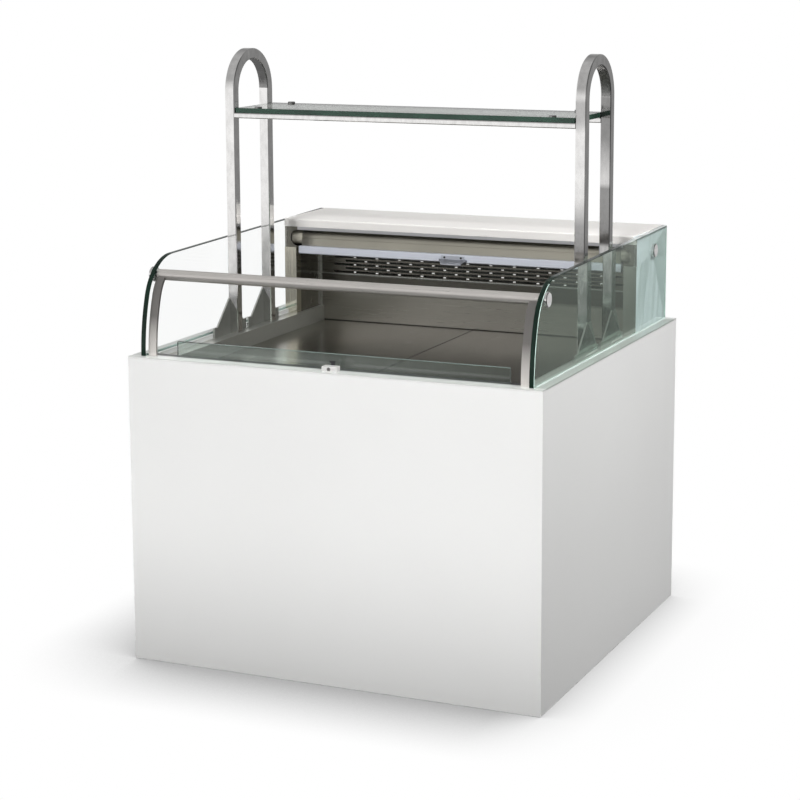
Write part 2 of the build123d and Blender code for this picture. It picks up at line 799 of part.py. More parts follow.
# Roller of the night blind, its end brackets and the rolled-up cloth
bracket_front = roller_y - roller_bracket_depth / 2
with BuildPart() as roller_brackets:
    for side in SIDES.values():
        with BuildSketch(Plane.YZ.offset(side * roller_bracket_x)):
            with Locations((roller_y, (post_top + hood_under) / 2)):
                Rectangle(roller_bracket_depth, hood_under - post_top)
            with Locations((roller_y, roller_z)):
                Circle(roller_pin_diameter / 2 + running_fit, mode=Mode.SUBTRACT)
        extrude(amount=-side * roller_bracket_sheet)
        with BuildSketch(Plane.YZ.offset(side * (roller_bracket_x - roller_bracket_sheet))):
            with Locations((roller_y, roller_z)):
                Circle(roller_cap_diameter / 2 - roller_bracket_sheet / 4)
                Circle(roller_cap_diameter / 2 - roller_bracket_sheet, mode=Mode.SUBTRACT)
            with Locations((roller_y + roller_cap_diameter / 2, roller_z)):
                Rectangle(roller_cap_diameter, roller_cap_diameter / 3, mode=Mode.SUBTRACT)
        extrude(amount=side * roller_bracket_sheet / 2, mode=Mode.SUBTRACT)
        cover_x = side * (roller_bracket_x - roller_cover_width / 2)
        with BuildSketch(facing_front(bracket_front + roller_cover_sheet)):
            with Locations((cover_x, (post_top + hood_under) / 2)):
                Rectangle(roller_cover_width, hood_under - post_top)
            with Locations((side * (roller_end - roll_diameter / 2 - roller_cover_gap), roller_z)):
                Circle(roll_diameter / 2 + roller_cover_gap, mode=Mode.SUBTRACT)
        extrude(amount=roller_cover_sheet)
save(roller_brackets, "roller_brackets")

with BuildPart() as roller_tube:
    for radius, end in (
        (roller_tube_diameter / 2, roller_end),
        (roller_pin_diameter / 2, roller_end + moving_gap + roller_pin_length),
    ):
        with BuildSketch(Plane.YZ.offset(-end)):
            with Locations((roller_y, roller_z)):
                Circle(radius)
        extrude(amount=2 * end)
    for side in SIDES.values():
        with BuildSketch(Plane.YZ.offset(side * roller_end)):
            with Locations((roller_y, roller_z)):
                Circle(roller_cap_diameter / 2)
        extrude(amount=-side * roller_cap_length)
save(roller_tube, "roller_tube")

roll_half = min(cloth_half, roller_end - roller_cap_length - seat_gap)
with BuildPart() as blind_roll:
    with BuildSketch(Plane.YZ.offset(-roll_half)):
        with Locations((roller_y, roller_z)):
            Circle(roll_diameter / 2)
            Circle(roller_tube_diameter / 2, mode=Mode.SUBTRACT)
    extrude(amount=2 * roll_half)
save(blind_roll, "blind_roll")

sheet_back = roller_y - roll_diameter / 2 - seat_gap
with BuildPart() as blind_sheet:
    block((-roll_half, roll_half), (sheet_back - blind_cloth, sheet_back), (bar_top, roller_z))
save(blind_sheet, "blind_sheet")

with BuildPart() as pull_bar:
    block((-bar_half, bar_half), (bar_front, bar_back), (bar_bottom, bar_top))
    fillet(pull_bar.edges().filter_by(Axis.X).group_by(Axis.Y)[0], radius=bar_edge_radius)
save(pull_bar, "pull_bar")

# Sheet handle: a leaf on the bar, a lip that leans out and a rolled hem along it
fold_z = bar_bottom + handle_fold
lip_way = Vector(0, -handle_reach, -handle_drop)
lip_plane = Plane(origin=(0, bar_front, fold_z), x_dir=(1, 0, 0), z_dir=Vector(1, 0, 0).cross(lip_way))
with BuildPart() as pull_handle:
    block((-handle_leaf_width / 2, handle_leaf_width / 2), (bar_front - handle_sheet, bar_front),
          (fold_z, bar_top - bar_edge_radius))
    with BuildSketch(lip_plane):
        with BuildLine():
            Polyline(
                (-handle_width / 2, 0),
                (handle_width / 2, 0),
                (handle_grip_width / 2, lip_way.length),
                (-handle_grip_width / 2, lip_way.length),
                close=True,
            )
        make_face()
    extrude(amount=-handle_sheet)
    with BuildSketch(Plane.YZ.offset(-handle_grip_width / 2)):
        with Locations((bar_front - handle_reach, fold_z - handle_drop)):
            Circle(handle_hem / 2)
    extrude(amount=handle_grip_width)
save(pull_handle, "pull_handle")

# Key lock: a body on the rim, its turning cylinder and the cam behind
lock_front = front + lock_front_margin
lock_back = lock_front + lock_depth
lock_z = deck_top + lock_height / 2
with BuildPart() as lock_body:
    block((-lock_width / 2, lock_width / 2), (lock_front, lock_back), (deck_top, deck_top + lock_height))
    fillet(lock_body.edges().filter_by(Axis.Z), radius=lock_corner_radius)
    chamfer(lock_body.faces().sort_by(Axis.Z)[-1].edges(), length=lock_bevel)
    with BuildSketch(facing_front(lock_back)):
        with Locations((0, lock_z)):
            Circle(lock_cylinder_diameter / 2 + running_fit)
    extrude(amount=lock_depth, mode=Mode.SUBTRACT)
save(lock_body, "lock_body")

cam_front = lock_back + moving_gap
with BuildPart() as lock_cylinder:
    with BuildSketch(facing_front(cam_front)):
        with Locations((0, lock_z)):
            Circle(lock_cylinder_diameter / 2)
    extrude(amount=cam_front - lock_front + lock_proud)
    with BuildSketch(facing_front(lock_front - lock_proud)):
        with Locations((0, lock_z)):
            Rectangle(key_slit_width, key_slit_length)
    extrude(amount=-key_slit_depth, mode=Mode.SUBTRACT)
save(lock_cylinder, "lock_cylinder")

with BuildPart() as lock_cam:
    with BuildSketch(facing_front(cam_front + lock_cam_sheet)):
        with BuildLine():
            Polyline(
                (-lock_cam_width / 2, lock_z - lock_cam_width / 2),
                (lock_cam_width / 2, lock_z - lock_cam_width / 2),
                (lock_cam_width / 2, lock_z + lock_cam_reach),
                (-lock_cam_width, lock_z + lock_cam_reach),
                (-lock_cam_width, lock_z + lock_cam_reach * 0.7),
                (-lock_cam_width / 2, lock_z + lock_cam_reach * 0.7),
                close=True,
            )
        make_face()
    extrude(amount=lock_cam_sheet)
    fillet(lock_cam.edges().filter_by(Axis.Y).group_by(Axis.Z)[0], radius=lock_cam_width / 3)
save(lock_cam, "lock_cam")

# Shelf bridge: two inverted U frames of square tube on the sunk ledges, with gussets at the feet
leg_faces = (
    (bridge_front, -1, gusset_front_reach),
    (bridge_front + bridge_tube, 1, gusset_rear_reach),
    (bridge_rear - bridge_tube, -1, gusset_front_reach),
    (bridge_rear, 1, gusset_rear_reach),
)
for side_name, side in SIDES.items():
    with BuildPart() as shelf_frame:
        for wall, x_near, x_far in (
            (0, bridge_inner, bridge_outer),
            (bridge_wall, bridge_inner + bridge_wall, bridge_outer - bridge_wall),
        ):
            outer = bridge_radius - wall
            inner = bridge_radius - bridge_tube + wall
            leg_middle = (ledge_top + bridge_spring) / 2
            with BuildSketch(Plane.YZ.offset(side * x_near)):
                for radius, mode in ((outer, Mode.ADD), (inner, Mode.SUBTRACT)):
                    with Locations((bridge_centre, bridge_spring)):
                        Circle(radius, mode=mode)
                    with Locations((bridge_centre, leg_middle)):
                        Rectangle(2 * radius, bridge_spring - ledge_top, mode=mode)
            extrude(amount=side * (x_far - x_near), mode=Mode.SUBTRACT if wall else Mode.ADD)
            if not wall:
                long_edges = shelf_frame.edges().filter_by(Axis.X, reverse=True).filter_by(
                    lambda edge: edge.center().Z > ledge_top + seat_gap)
                chamfer(long_edges, length=bridge_corner)
        with BuildSketch(Plane.YZ.offset(side * bridge_outer)):
            for face_y, way, reach in leg_faces:
                with BuildLine():
                    Polyline(
                        (face_y - way * bridge_corner, ledge_top),
                        (face_y + way * reach, ledge_top),
                        (face_y + way * reach, ledge_top + gusset_nose),
                        (face_y + way * (reach - gusset_flat), ledge_top + gusset_nose),
                        (face_y, ledge_top + gusset_height),
                        (face_y - way * bridge_corner, ledge_top + gusset_height),
                        close=True,
                    )
                make_face()
        extrude(amount=-side * gusset_sheet)
    save(shelf_frame, f"{side_name}_shelf_frame")

rail_bottom = shelf_under - shelf_rail_height
with BuildPart() as shelf_rails:
    for rail_front in (bridge_front, bridge_rear - bridge_tube):
        block((-bridge_inner, bridge_inner), (rail_front, rail_front + bridge_tube), (rail_bottom, shelf_under))
    chamfer(shelf_rails.edges().filter_by(Axis.X), length=bridge_corner)
    with BuildSketch(Plane.XY.offset(shelf_under)):
        for stud_y in stud_ys:
            with Locations((-stud_x, stud_y), (stud_x, stud_y)):
                Circle(stud_shank_diameter / 2 + running_fit)
    extrude(amount=-stud_shank_engagement, mode=Mode.SUBTRACT)
save(shelf_rails, "shelf_rails")

shelf_half = bridge_inner - shelf_end_gap
with BuildPart() as shelf_glass:
    with BuildSketch(Plane.XY.offset(shelf_under)):
        with Locations((0, bridge_centre)):
            Rectangle(2 * shelf_half, bridge_depth - 2 * shelf_end_gap)
    extrude(amount=shelf_glass_thickness)
    chamfer(shelf_glass.edges(), length=glass_arris)
    with BuildSketch(Plane.XY.offset(shelf_under)):
        for stud_y in stud_ys:
            with Locations((-stud_x, stud_y), (stud_x, stud_y)):
                Circle((stud_shank_diameter + clamp_hole_clearance) / 2)
    extrude(amount=shelf_glass_thickness, mode=Mode.SUBTRACT)
save(shelf_glass, "shelf_glass")

with BuildPart() as shelf_studs:
    with BuildSketch(Plane.XY.offset(shelf_top)):
        for stud_y in stud_ys:
            with Locations((-stud_x, stud_y), (stud_x, stud_y)):
                Circle(stud_diameter / 2)
    extrude(amount=stud_cap_height)
    chamfer(shelf_studs.edges().group_by(Axis.Z)[-1], length=stud_bevel)
    with BuildSketch(Plane.XY.offset(shelf_top)):
        for stud_y in stud_ys:
            with Locations((-stud_x, stud_y), (stud_x, stud_y)):
                Circle(stud_shank_diameter / 2)
    extrude(amount=-(shelf_glass_thickness + stud_shank_engagement - seat_gap))
save(shelf_studs, "shelf_studs")

# Evaporator: a finned block between end plates on the tank floor
evaporator_low = tank_bottom + evaporator_foot
evaporator_high = evaporator_low + evaporator_height
fin_count = int(evaporator_width // evaporator_fin_pitch) - 1
with BuildPart() as evaporator_coil:
    block((-evaporator_width / 2, evaporator_width / 2), (evaporator_front, evaporator_back),
          (evaporator_low, evaporator_high))
    for groove_z in (evaporator_low + evaporator_groove_depth / 2, evaporator_high - evaporator_groove_depth / 2):
        with BuildSketch(Plane.XY.offset(groove_z - evaporator_groove_depth / 2)):
            with Locations((0, evaporator_centre_y)):
                with GridLocations(evaporator_fin_pitch, 1, fin_count, 1):
                    Rectangle(evaporator_fin_groove, evaporator_depth)
        extrude(amount=evaporator_groove_depth, mode=Mode.SUBTRACT)
    for side in SIDES.values():
        block((side * evaporator_width / 2, side * (evaporator_width / 2 + evaporator_end_plate)),
              (evaporator_front, evaporator_back), (tank_bottom, evaporator_high + evaporator_foot / 2))
save(evaporator_coil, "evaporator_coil")

# Fan plate across the tank, two motors in front of it and two rotors behind it
fan_z = (tank_bottom + floor_under - centre_beam_height) / 2
fan_sites = ((-evaporator_fan_spacing / 2, fan_z), (evaporator_fan_spacing / 2, fan_z))
plate_back = fan_plate_y + fan_plate_sheet
with BuildPart() as fan_plate:
    block((-well_half, well_half), (fan_plate_y, plate_back),
          (tank_bottom, floor_under - support_angle - seat_gap))
    block((-centre_beam_width / 2 - floor_lip, centre_beam_width / 2 + floor_lip), (fan_plate_y, plate_back),
          (floor_under - centre_beam_height, floor_under), mode=Mode.SUBTRACT)
    with BuildSketch(facing_front(fan_plate_y)):
        with Locations(*fan_sites):
            Circle(evaporator_fan_opening / 2)
    extrude(amount=-fan_plate_sheet, mode=Mode.SUBTRACT)
save(fan_plate, "fan_plate")


def fan_motors(sites, plate_y, opening, diameter, length, shaft_end, way):
    """Motors on struts across their openings; way is +1 where the shaft points to +Y."""
    mount = facing_front(plate_y)
    outward = way
    with BuildPart() as motors:
        with BuildSketch(mount):
            with Locations(*sites):
                Rectangle(opening + 2 * motor_strut_overlap, motor_strut_width)
                Rectangle(motor_strut_width, opening)
        extrude(amount=outward * motor_strut_sheet)
        with BuildSketch(mount.offset(outward * motor_strut_sheet)):
            with Locations(*sites):
                Circle(diameter / 2)
        extrude(amount=outward * length)
        with BuildSketch(mount):
            with Locations(*sites):
                Circle(fan_shaft_diameter / 2)
        extrude(amount=-outward * abs(shaft_end - plate_y))
    return motors


def fan_rotor(hub_start, diameter, hub_diameter, hub_length, way):
    """A rotor on a Y shaft with pitched blades that widen to their tips."""
    x, y, z = hub_start
    pitch = radians(fan_pitch)
    widen = diameter / evaporator_fan_diameter
    with BuildPart() as rotor:
        with BuildSketch(Plane(origin=hub_start, x_dir=(1, 0, 0), z_dir=(0, way, 0))):
            Circle(hub_diameter / 2)
        extrude(amount=hub_length)
        for blade in range(fan_blades):
            angle = radians(360 / fan_blades * blade)
            spoke = Vector(cos(angle), 0, sin(angle))
            chord = Vector(-sin(angle) * sin(pitch), way * cos(pitch), cos(angle) * sin(pitch))
            root = hub_diameter / 2 - fan_blade_sheet
            tip = diameter / 2
            middle = Vector(x, y + way * hub_length / 2, z)
            with BuildSketch(Plane(origin=middle, x_dir=spoke, z_dir=spoke.cross(chord))):
                with BuildLine():
                    Polyline(
                        (root, -fan_root_chord / 2),
                        (tip, -fan_tip_chord * widen / 2),
                        (tip, fan_tip_chord * widen / 2),
                        (root, fan_root_chord / 2),
                        close=True,
                    )
                make_face()
            extrude(amount=fan_blade_sheet / 2, both=True)
        with BuildSketch(Plane(origin=hub_start, x_dir=(1, 0, 0), z_dir=(0, way, 0))):
            Circle(fan_shaft_diameter / 2 + running_fit)
        extrude(amount=hub_length, mode=Mode.SUBTRACT)
    return rotor


hub_start_y = plate_back + fan_plate_to_hub
save(fan_motors(fan_sites, fan_plate_y, evaporator_fan_opening, evaporator_motor_diameter,
                evaporator_motor_length, hub_start_y + fan_hub_length, 1), "evaporator_fan_motors")
for (fan_x, _), side_name in zip(fan_sites, SIDES):
    save(fan_rotor((fan_x, hub_start_y, fan_z), evaporator_fan_diameter, fan_hub_diameter, fan_hub_length, 1),
         f"{side_name}_evaporator_fan")

# Drain through the tank floor to the tray that dries the water off
with BuildPart() as drain_fitting:
    with BuildSketch(Plane.XY.offset(tank_bottom)):
        with Locations((drain_x, drain_y)):
            Circle(drain_flange_diameter / 2)
    extrude(amount=drain_flange_sheet)
    with BuildSketch(Plane.XY.offset(tank_bottom)):
        with Locations((drain_x, drain_y)):
            Circle(drain_diameter / 2)
    extrude(amount=-(tank_bottom - drain_end_height))
    with BuildSketch(Plane.XY.offset(drain_end_height)):
        with Locations((drain_x, drain_y)):
            Circle(drain_diameter / 2 - drain_wall)
    extrude(amount=tank_bottom + drain_flange_sheet - drain_end_height, mode=Mode.SUBTRACT)
save(drain_fitting, "drain_fitting")

with BuildPart() as drip_tray:
    with BuildSketch(Plane.XY.offset(tray_top)):
        with Locations((drain_x, drain_y)):
            Rectangle(drip_tray_width, drip_tray_depth)
    extrude(amount=drip_tray_height)
    offset(amount=-drip_tray_sheet, openings=drip_tray.faces().sort_by(Axis.Z)[-1])
save(drip_tray, "drip_tray")

# Compressor: a welded can on a foot plate with rubber grommets
can_bottom = tray_top + compressor_foot_height + compressor_plate_sheet
can_radius = compressor_diameter / 2
can_top = can_bottom + compressor_body_height + compressor_dome_height
stub_top = can_top + compressor_stub_height
pipe_level = stub_top + pipe_rise
stub_xs = (compressor_x - compressor_stub_spread, compressor_x + compressor_stub_spread)
with BuildPart() as compressor:
    with BuildSketch(Plane.XY.offset(can_bottom - compressor_plate_sheet)):
        with Locations((compressor_x, compressor_y)):
            RectangleRounded(compressor_plate_width, compressor_plate_depth, compressor_foot_diameter / 2)
    extrude(amount=compressor_plate_sheet)
    with BuildSketch(Plane.XY.offset(tray_top)):
        with Locations((compressor_x, compressor_y)):
            with GridLocations(compressor_plate_width - compressor_foot_diameter,
                               compressor_plate_depth - compressor_foot_diameter, 2, 2):
                Circle(compressor_foot_diameter / 2)
    extrude(amount=compressor_foot_height)
    with BuildSketch(Plane(origin=(compressor_x, compressor_y, can_bottom), x_dir=(1, 0, 0), z_dir=(0, -1, 0))):
        with BuildLine():
            Polyline(
                (0, 0),
                (can_radius - compressor_seam, 0),
                (can_radius - compressor_seam, compressor_body_height / 2),
                (can_radius, compressor_body_height / 2),
                (can_radius, compressor_body_height / 2 + compressor_seam),
                (can_radius - compressor_seam, compressor_body_height / 2 + compressor_seam),
                (can_radius - compressor_seam, compressor_body_height),
                (can_radius * 0.8, compressor_body_height + compressor_dome_height * 0.55),
                (can_radius * 0.5, compressor_body_height + compressor_dome_height * 0.88),
                (0, compressor_body_height + compressor_dome_height),
                close=True,
            )
        make_face()
    revolve(axis=Axis((compressor_x, compressor_y, 0), (0, 0, 1)))
    with BuildSketch(Plane.XY.offset(can_bottom + compressor_body_height)):
        with Locations(*((stub_x, compressor_y) for stub_x in stub_xs)):
            Circle(compressor_stub_diameter / 2)
    extrude(amount=stub_top - can_bottom - compressor_body_height)
save(compressor, "compressor")

# Condenser: finned block behind the louvres, with shroud, motor and fan
condenser_low = tray_top
condenser_high = condenser_low + condenser_height
condenser_front = condenser_y - condenser_depth / 2
condenser_back = condenser_y + condenser_depth / 2
condenser_left = condenser_x - condenser_width / 2
condenser_fin_count = int(condenser_width // condenser_fin_pitch) - 1
with BuildPart() as condenser_coil:
    block((condenser_left, condenser_left + condenser_width), (condenser_front, condenser_back),
          (condenser_low, condenser_high))
    with BuildSketch(facing_front(condenser_back)):
        with Locations((condenser_x, (condenser_low + condenser_high) / 2)):
            with GridLocations(condenser_fin_pitch, 1, condenser_fin_count, 1):
                Rectangle(condenser_fin_groove, condenser_height - 2 * condenser_groove_depth)
    extrude(amount=condenser_groove_depth, mode=Mode.SUBTRACT)
save(condenser_coil, "condenser_coil")

shroud_front = condenser_front - shroud_depth
condenser_fan_z = (condenser_low + condenser_high) / 2
condenser_opening = condenser_fan_diameter + 2 * condenser_fan_clearance
with BuildPart() as condenser_shroud:
    block((condenser_left, condenser_left + condenser_width), (shroud_front, condenser_front),
          (condenser_low, condenser_high))
    block((condenser_left + shroud_sheet, condenser_left + condenser_width - shroud_sheet),
          (shroud_front + shroud_sheet, condenser_front),
          (condenser_low + shroud_sheet, condenser_high - shroud_sheet), mode=Mode.SUBTRACT)
    with BuildSketch(facing_front(shroud_front)):
        with Locations((condenser_x, condenser_fan_z)):
            Circle(condenser_opening / 2)
    extrude(amount=-shroud_sheet, mode=Mode.SUBTRACT)
save(condenser_shroud, "condenser_shroud")

condenser_hub_start = shroud_front + fan_plate_to_hub
save(fan_motors(((condenser_x, condenser_fan_z),), shroud_front, condenser_opening, condenser_motor_diameter,
                condenser_motor_length, condenser_hub_start + fan_hub_length, 1), "condenser_fan_motor")
save(fan_rotor((condenser_x, condenser_hub_start, condenser_fan_z), condenser_fan_diameter,
               fan_hub_diameter, fan_hub_length, 1), "condenser_fan")

# Copper lines: suction, discharge and liquid
pipe_z = (evaporator_low + evaporator_high) / 2
discharge_x = condenser_left - suction_drop
condenser_inlet_z = condenser_high - pipe_end_offset
condenser_outlet_z = condenser_low + pipe_end_offset
pipe_routes = (
    ((evaporator_left, compressor_y, pipe_z), (suction_x, compressor_y, pipe_z),
     (suction_x, compressor_y, pipe_level), (stub_xs[0], compressor_y, pipe_level),
     (stub_xs[0], compressor_y, stub_top)),
    ((stub_xs[1], compressor_y, stub_top), (stub_xs[1], compressor_y, pipe_level),
     (discharge_x, compressor_y, pipe_level), (discharge_x, condenser_y, pipe_level),
     (discharge_x, condenser_y, condenser_inlet_z), (condenser_left, condenser_y, condenser_inlet_z)),
    ((condenser_left, condenser_y, condenser_outlet_z), (liquid_x, condenser_y, condenser_outlet_z),
     (liquid_x, condenser_y, liquid_level), (liquid_x, liquid_y, liquid_level),
     (liquid_x, liquid_y, pipe_z), (liquid_x, evaporator_back, pipe_z)),
)
with BuildPart() as refrigerant_lines:
    for route in pipe_routes:
        start = Vector(*route[0])
        along = Vector(*route[1]) - start
        with BuildLine() as run:
            Polyline(*route)
        with BuildSketch(Plane(origin=start, z_dir=along)):
            Circle(pipe_diameter / 2)
        sweep(path=run.wires()[0], transition=Transition.RIGHT)
    with BuildSketch(Plane.XY.offset(condenser_outlet_z + pipe_end_offset)):
        with Locations((liquid_x, condenser_y)):
            Circle(drier_diameter / 2)
    extrude(amount=drier_length)
save(refrigerant_lines, "refrigerant_lines")

# Recessed control tray with a thermostat knob, a rocker switch and the mains inlet
control_back = rear - control_recess
tray_face = control_back + control_sheet
knob_x = control_x - knob_offset
inlet_x = control_x - inlet_offset
with BuildPart() as control_tray:
    with BuildSketch(facing_rear(control_back)):
        with Locations((-control_x, control_z)):
            Rectangle(control_width, control_height)
    extrude(amount=control_recess)
    with BuildSketch(facing_rear(tray_face)):
        with Locations((-control_x, control_z)):
            Rectangle(control_width - 2 * control_sheet, control_height - 2 * control_sheet)
    extrude(amount=control_recess - control_sheet, mode=Mode.SUBTRACT)
    with BuildSketch(facing_rear(control_back)):
        with Locations((-knob_x, control_z)):
            Circle(knob_shaft_diameter / 2 + running_fit)
        with Locations((-inlet_x, control_z)):
            Rectangle(inlet_socket_width + 4 * control_sheet, inlet_socket_height + 4 * control_sheet)
    extrude(amount=control_sheet, mode=Mode.SUBTRACT)
    lug_reach = switch_thickness
    for way in (-1, 1):
        lug_x = control_x + way * (switch_width / 2 + moving_gap)
        block((lug_x, lug_x + way * control_sheet), (tray_face, tray_face + lug_reach),
              (control_z - lug_reach / 2, control_z + lug_reach / 2))
    with BuildSketch(Plane.YZ.offset(control_x - switch_width)):
        with Locations((tray_face + lug_reach / 2, control_z)):
            Circle(switch_pin_diameter / 2 + running_fit)
    extrude(amount=2 * switch_width, mode=Mode.SUBTRACT)
save(control_tray, "control_tray")

with BuildPart() as thermostat_knob:
    with BuildSketch(facing_rear(tray_face + knob_gap)):
        with Locations((-knob_x, control_z)):
            Circle(knob_diameter / 2)
    extrude(amount=knob_height)
    chamfer(thermostat_knob.edges().group_by(Axis.Y)[-1], length=knob_bevel)
    with BuildSketch(facing_rear(tray_face + knob_gap + knob_height)):
        with Locations((-knob_x, control_z + knob_diameter / 3)):
            Rectangle(key_slit_width, knob_diameter / 4)
    extrude(amount=-knob_bevel, mode=Mode.SUBTRACT)
    with BuildSketch(facing_rear(tray_face + knob_gap)):
        with Locations((-knob_x, control_z)):
            Circle(knob_shaft_diameter / 2)
    extrude(amount=-knob_shaft_length)
save(thermostat_knob, "thermostat_knob")

switch_axis_y = tray_face + switch_thickness / 2
rocker_dip = switch_height / 2 * sin(radians(switch_tilt))
tilted = Plane(
    origin=(control_x - switch_width / 2, switch_axis_y, control_z),
    x_dir=(0, cos(radians(switch_tilt)), sin(radians(switch_tilt))),
    z_dir=(1, 0, 0),
)
with BuildPart() as rocker_switch:
    with BuildSketch(tilted):
        with BuildLine():
            Polyline(
                (-switch_pin_diameter, -switch_height / 8),
                (0, -switch_height / 2),
                (switch_thickness / 2 + rocker_dip, -switch_height / 2),
                (switch_thickness / 2, 0),
                (switch_thickness / 2 + rocker_dip, switch_height / 2),
                (0, switch_height / 2),
                (-switch_pin_diameter, switch_height / 8),
                close=True,
            )
        make_face()
    extrude(amount=switch_width)
    pin_half = switch_width / 2 + moving_gap + control_sheet
    with BuildSketch(Plane.YZ.offset(control_x - pin_half)):
        with Locations((switch_axis_y, control_z)):
            Circle(switch_pin_diameter / 2)
    extrude(amount=2 * pin_half)
save(rocker_switch, "rocker_switch")

with BuildPart() as mains_inlet:
    with BuildSketch(facing_rear(tray_face)):
        with Locations((-inlet_x, control_z)):
            RectangleRounded(inlet_width, inlet_height, inlet_flange)
    extrude(amount=inlet_flange)
    with BuildSketch(facing_rear(tray_face)):
        with Locations((-inlet_x, control_z)):
            Rectangle(inlet_socket_width + 3 * control_sheet, inlet_socket_height + 3 * control_sheet)
    extrude(amount=-inlet_depth)
    with BuildSketch(facing_rear(tray_face + inlet_flange)):
        with Locations((-inlet_x, control_z)):
            RectangleRounded(inlet_socket_width, inlet_socket_height, inlet_flange)
    extrude(amount=-inlet_socket_depth, mode=Mode.SUBTRACT)
    with BuildSketch(facing_rear(tray_face + inlet_flange - inlet_socket_depth)):
        with Locations((-inlet_x, control_z)):
            with GridLocations(inlet_pin_spread / 2, 1, 3, 1):
                Rectangle(inlet_pin_sheet, inlet_pin_width)
    extrude(amount=inlet_pin_length)
save(mains_inlet, "mains_inlet")

print("rail", round(rail_y, 1), round(rail_z, 1), "glass top", round(glass_top, 1))
print("bar", bar_front, bar_back, round(bar_bottom, 1), round(bar_top, 1), "half", bar_half)
print("roller", roller_y, roller_z, "outlet wall", outlet_y, "lock", lock_z, cam_front)
print("fans", fan_sites, hub_start_y, "condenser fan", condenser_x, condenser_hub_start, condenser_fan_z)
print("knob", knob_x, control_z, "switch", control_x, switch_axis_y)
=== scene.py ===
"""Dresses the refrigerated display cabinet: finishes for every piece, the cloth of its night blind,
its small fasteners and a plain white studio. Metres, +Z up, the customer side faces -Y."""

import math

import bmesh
import bpy
from bpy.props import FloatProperty, FloatVectorProperty, IntProperty, PointerProperty
from mathutils import Matrix, Vector


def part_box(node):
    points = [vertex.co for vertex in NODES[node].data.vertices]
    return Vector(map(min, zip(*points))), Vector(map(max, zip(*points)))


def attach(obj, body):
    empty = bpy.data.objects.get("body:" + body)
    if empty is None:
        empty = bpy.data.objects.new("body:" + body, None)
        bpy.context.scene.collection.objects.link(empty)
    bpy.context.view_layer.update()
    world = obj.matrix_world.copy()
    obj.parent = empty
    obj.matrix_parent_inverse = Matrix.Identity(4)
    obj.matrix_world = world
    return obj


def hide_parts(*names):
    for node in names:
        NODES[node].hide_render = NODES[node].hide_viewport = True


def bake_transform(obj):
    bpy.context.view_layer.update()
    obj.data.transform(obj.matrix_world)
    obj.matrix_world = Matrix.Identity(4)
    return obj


bl_info = {
    "name": "Display Cabinet Dresser",
    "version": (1, 0, 0),
    "blender": (4, 5, 0),
    "location": "3D View > Sidebar > Cabinet",
    "description": "Gives a display cabinet its finishes, blind cloth, fasteners and studio",
    "category": "Object",
}

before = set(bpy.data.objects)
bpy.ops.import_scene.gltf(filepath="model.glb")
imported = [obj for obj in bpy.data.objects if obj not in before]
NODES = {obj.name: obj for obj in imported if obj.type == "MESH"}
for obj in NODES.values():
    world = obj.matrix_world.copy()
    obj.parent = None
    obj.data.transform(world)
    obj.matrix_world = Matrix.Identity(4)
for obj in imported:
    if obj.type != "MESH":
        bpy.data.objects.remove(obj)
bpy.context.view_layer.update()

# A face is square to an axis, or leans along it, when this share of its normal lies that way
SQUARE_ON = 0.9
LEANS = 0.5
# A face this near to a piece's side counts as its outside, in metres
SKIN = 0.001
SMOOTH_ANGLE = math.radians(40)

# The sockets of a Mix node that mixes colours
MIX_SHARE, MIX_FIRST, MIX_SECOND, MIX_RESULT = 0, 6, 7, 2

# Where one shade of metal or glass turns to the next, in metres: heights above the floor, or
# distances from the cabinet's middle. Most of these bands are painted shade, highlights and reflections
RIM_GAP_SHADOW = (0.4225, 0.4235)
RIM_FRONT = (0.4450, 0.4475)
RIM_SIDE = (0.4540, 0.4560)
RIM_RIGHT = (0.4745, 0.4755)
RIM_LIP_HIGHLIGHT = (0.455, 0.462)
STRIP_FOOT_HIGHLIGHT = (0.805, 0.728)
LEDGE = (0.448, 0.452)
FLOOR_SEAM = (0.0032, 0.0012)
FLOOR_LEFT_LIGHTER = (0.02, 0.35)
FLOOR_RIGHT_SHADE = (0.02, 0.40)
OUTLET_RECESS_SHADE = (0.742, 0.752)
OUTLET_HEM_HIGHLIGHT = (0.7895, 0.7905)
OUTLET_SLITS_SHADE = (0.7920, 0.7930)
LEG_DULLED = (0.98, 0.90)
LEG_FOOT = (0.81, 0.79)
LEG_ARCH = (1.285, 1.30)
LEG_UNDER_GLASS = (0.95, 0.94)
# Heights of the painted reflections on the right frame's legs
FRONT_LEG_SHELF_REFLECTION = (1.215, 1.245)
FRONT_LEG_HOOD_REFLECTION = (1.075, 1.01)
REAR_LEG_WALL_REFLECTION = (1.19, 1.105)
REAR_LEG_HOOD_REFLECTION = (1.088, 1.076)
PANE_ENDS = (-0.4, 0.4)
PANE_EDGE_FAR_HIGHLIGHT = (0.10, 0.22)
RISER_EDGE_LEFT = (0.36, 0.27)

# The same, as distances from a piece's own edge
FLOOR_REAR = (0.005, 0.002)
OUTLET_FOLD_HIGHLIGHT = (0.007, 0.005)
OUTLET_FOOT = (0.003, 0.0012)

# The strip under the hood's front edge: how far behind that edge it lies, and the height of its top
HEM_NEAR, HEM_FAR = 0.0019, 0.0045
HEM_TOP = 0.937

# The shelf frames: the middle of their arches, their legs' places and reach, and their gussets' top
ARCH_MIDDLE = Vector((0, 0.013, 1.288))
ARCH_INWARD = -0.02
LEG_Y = (-0.0745, 0.1005)
TUBE_REACH = 0.0129
GUSSET_TOP = 0.80

# The glass's ground corner: its width, and how its faces and the clear ones are turned
ARRIS_WIDTH = 0.002
ARRIS_TURN = 0.2
ARRIS_FRONT = 0.3
CLEAR_FACE = 0.95

# The blind's cloth: steps in its grids, and how its end meets the bar
CLOTH_COLUMNS = 12
FALL_STEPS = 12
FALL_TUCK = 0.0004
FALL_LEAD = 0.0012
# The covers at the blind's ends reach this far back from their front
COVER_DEPTH = 0.0025

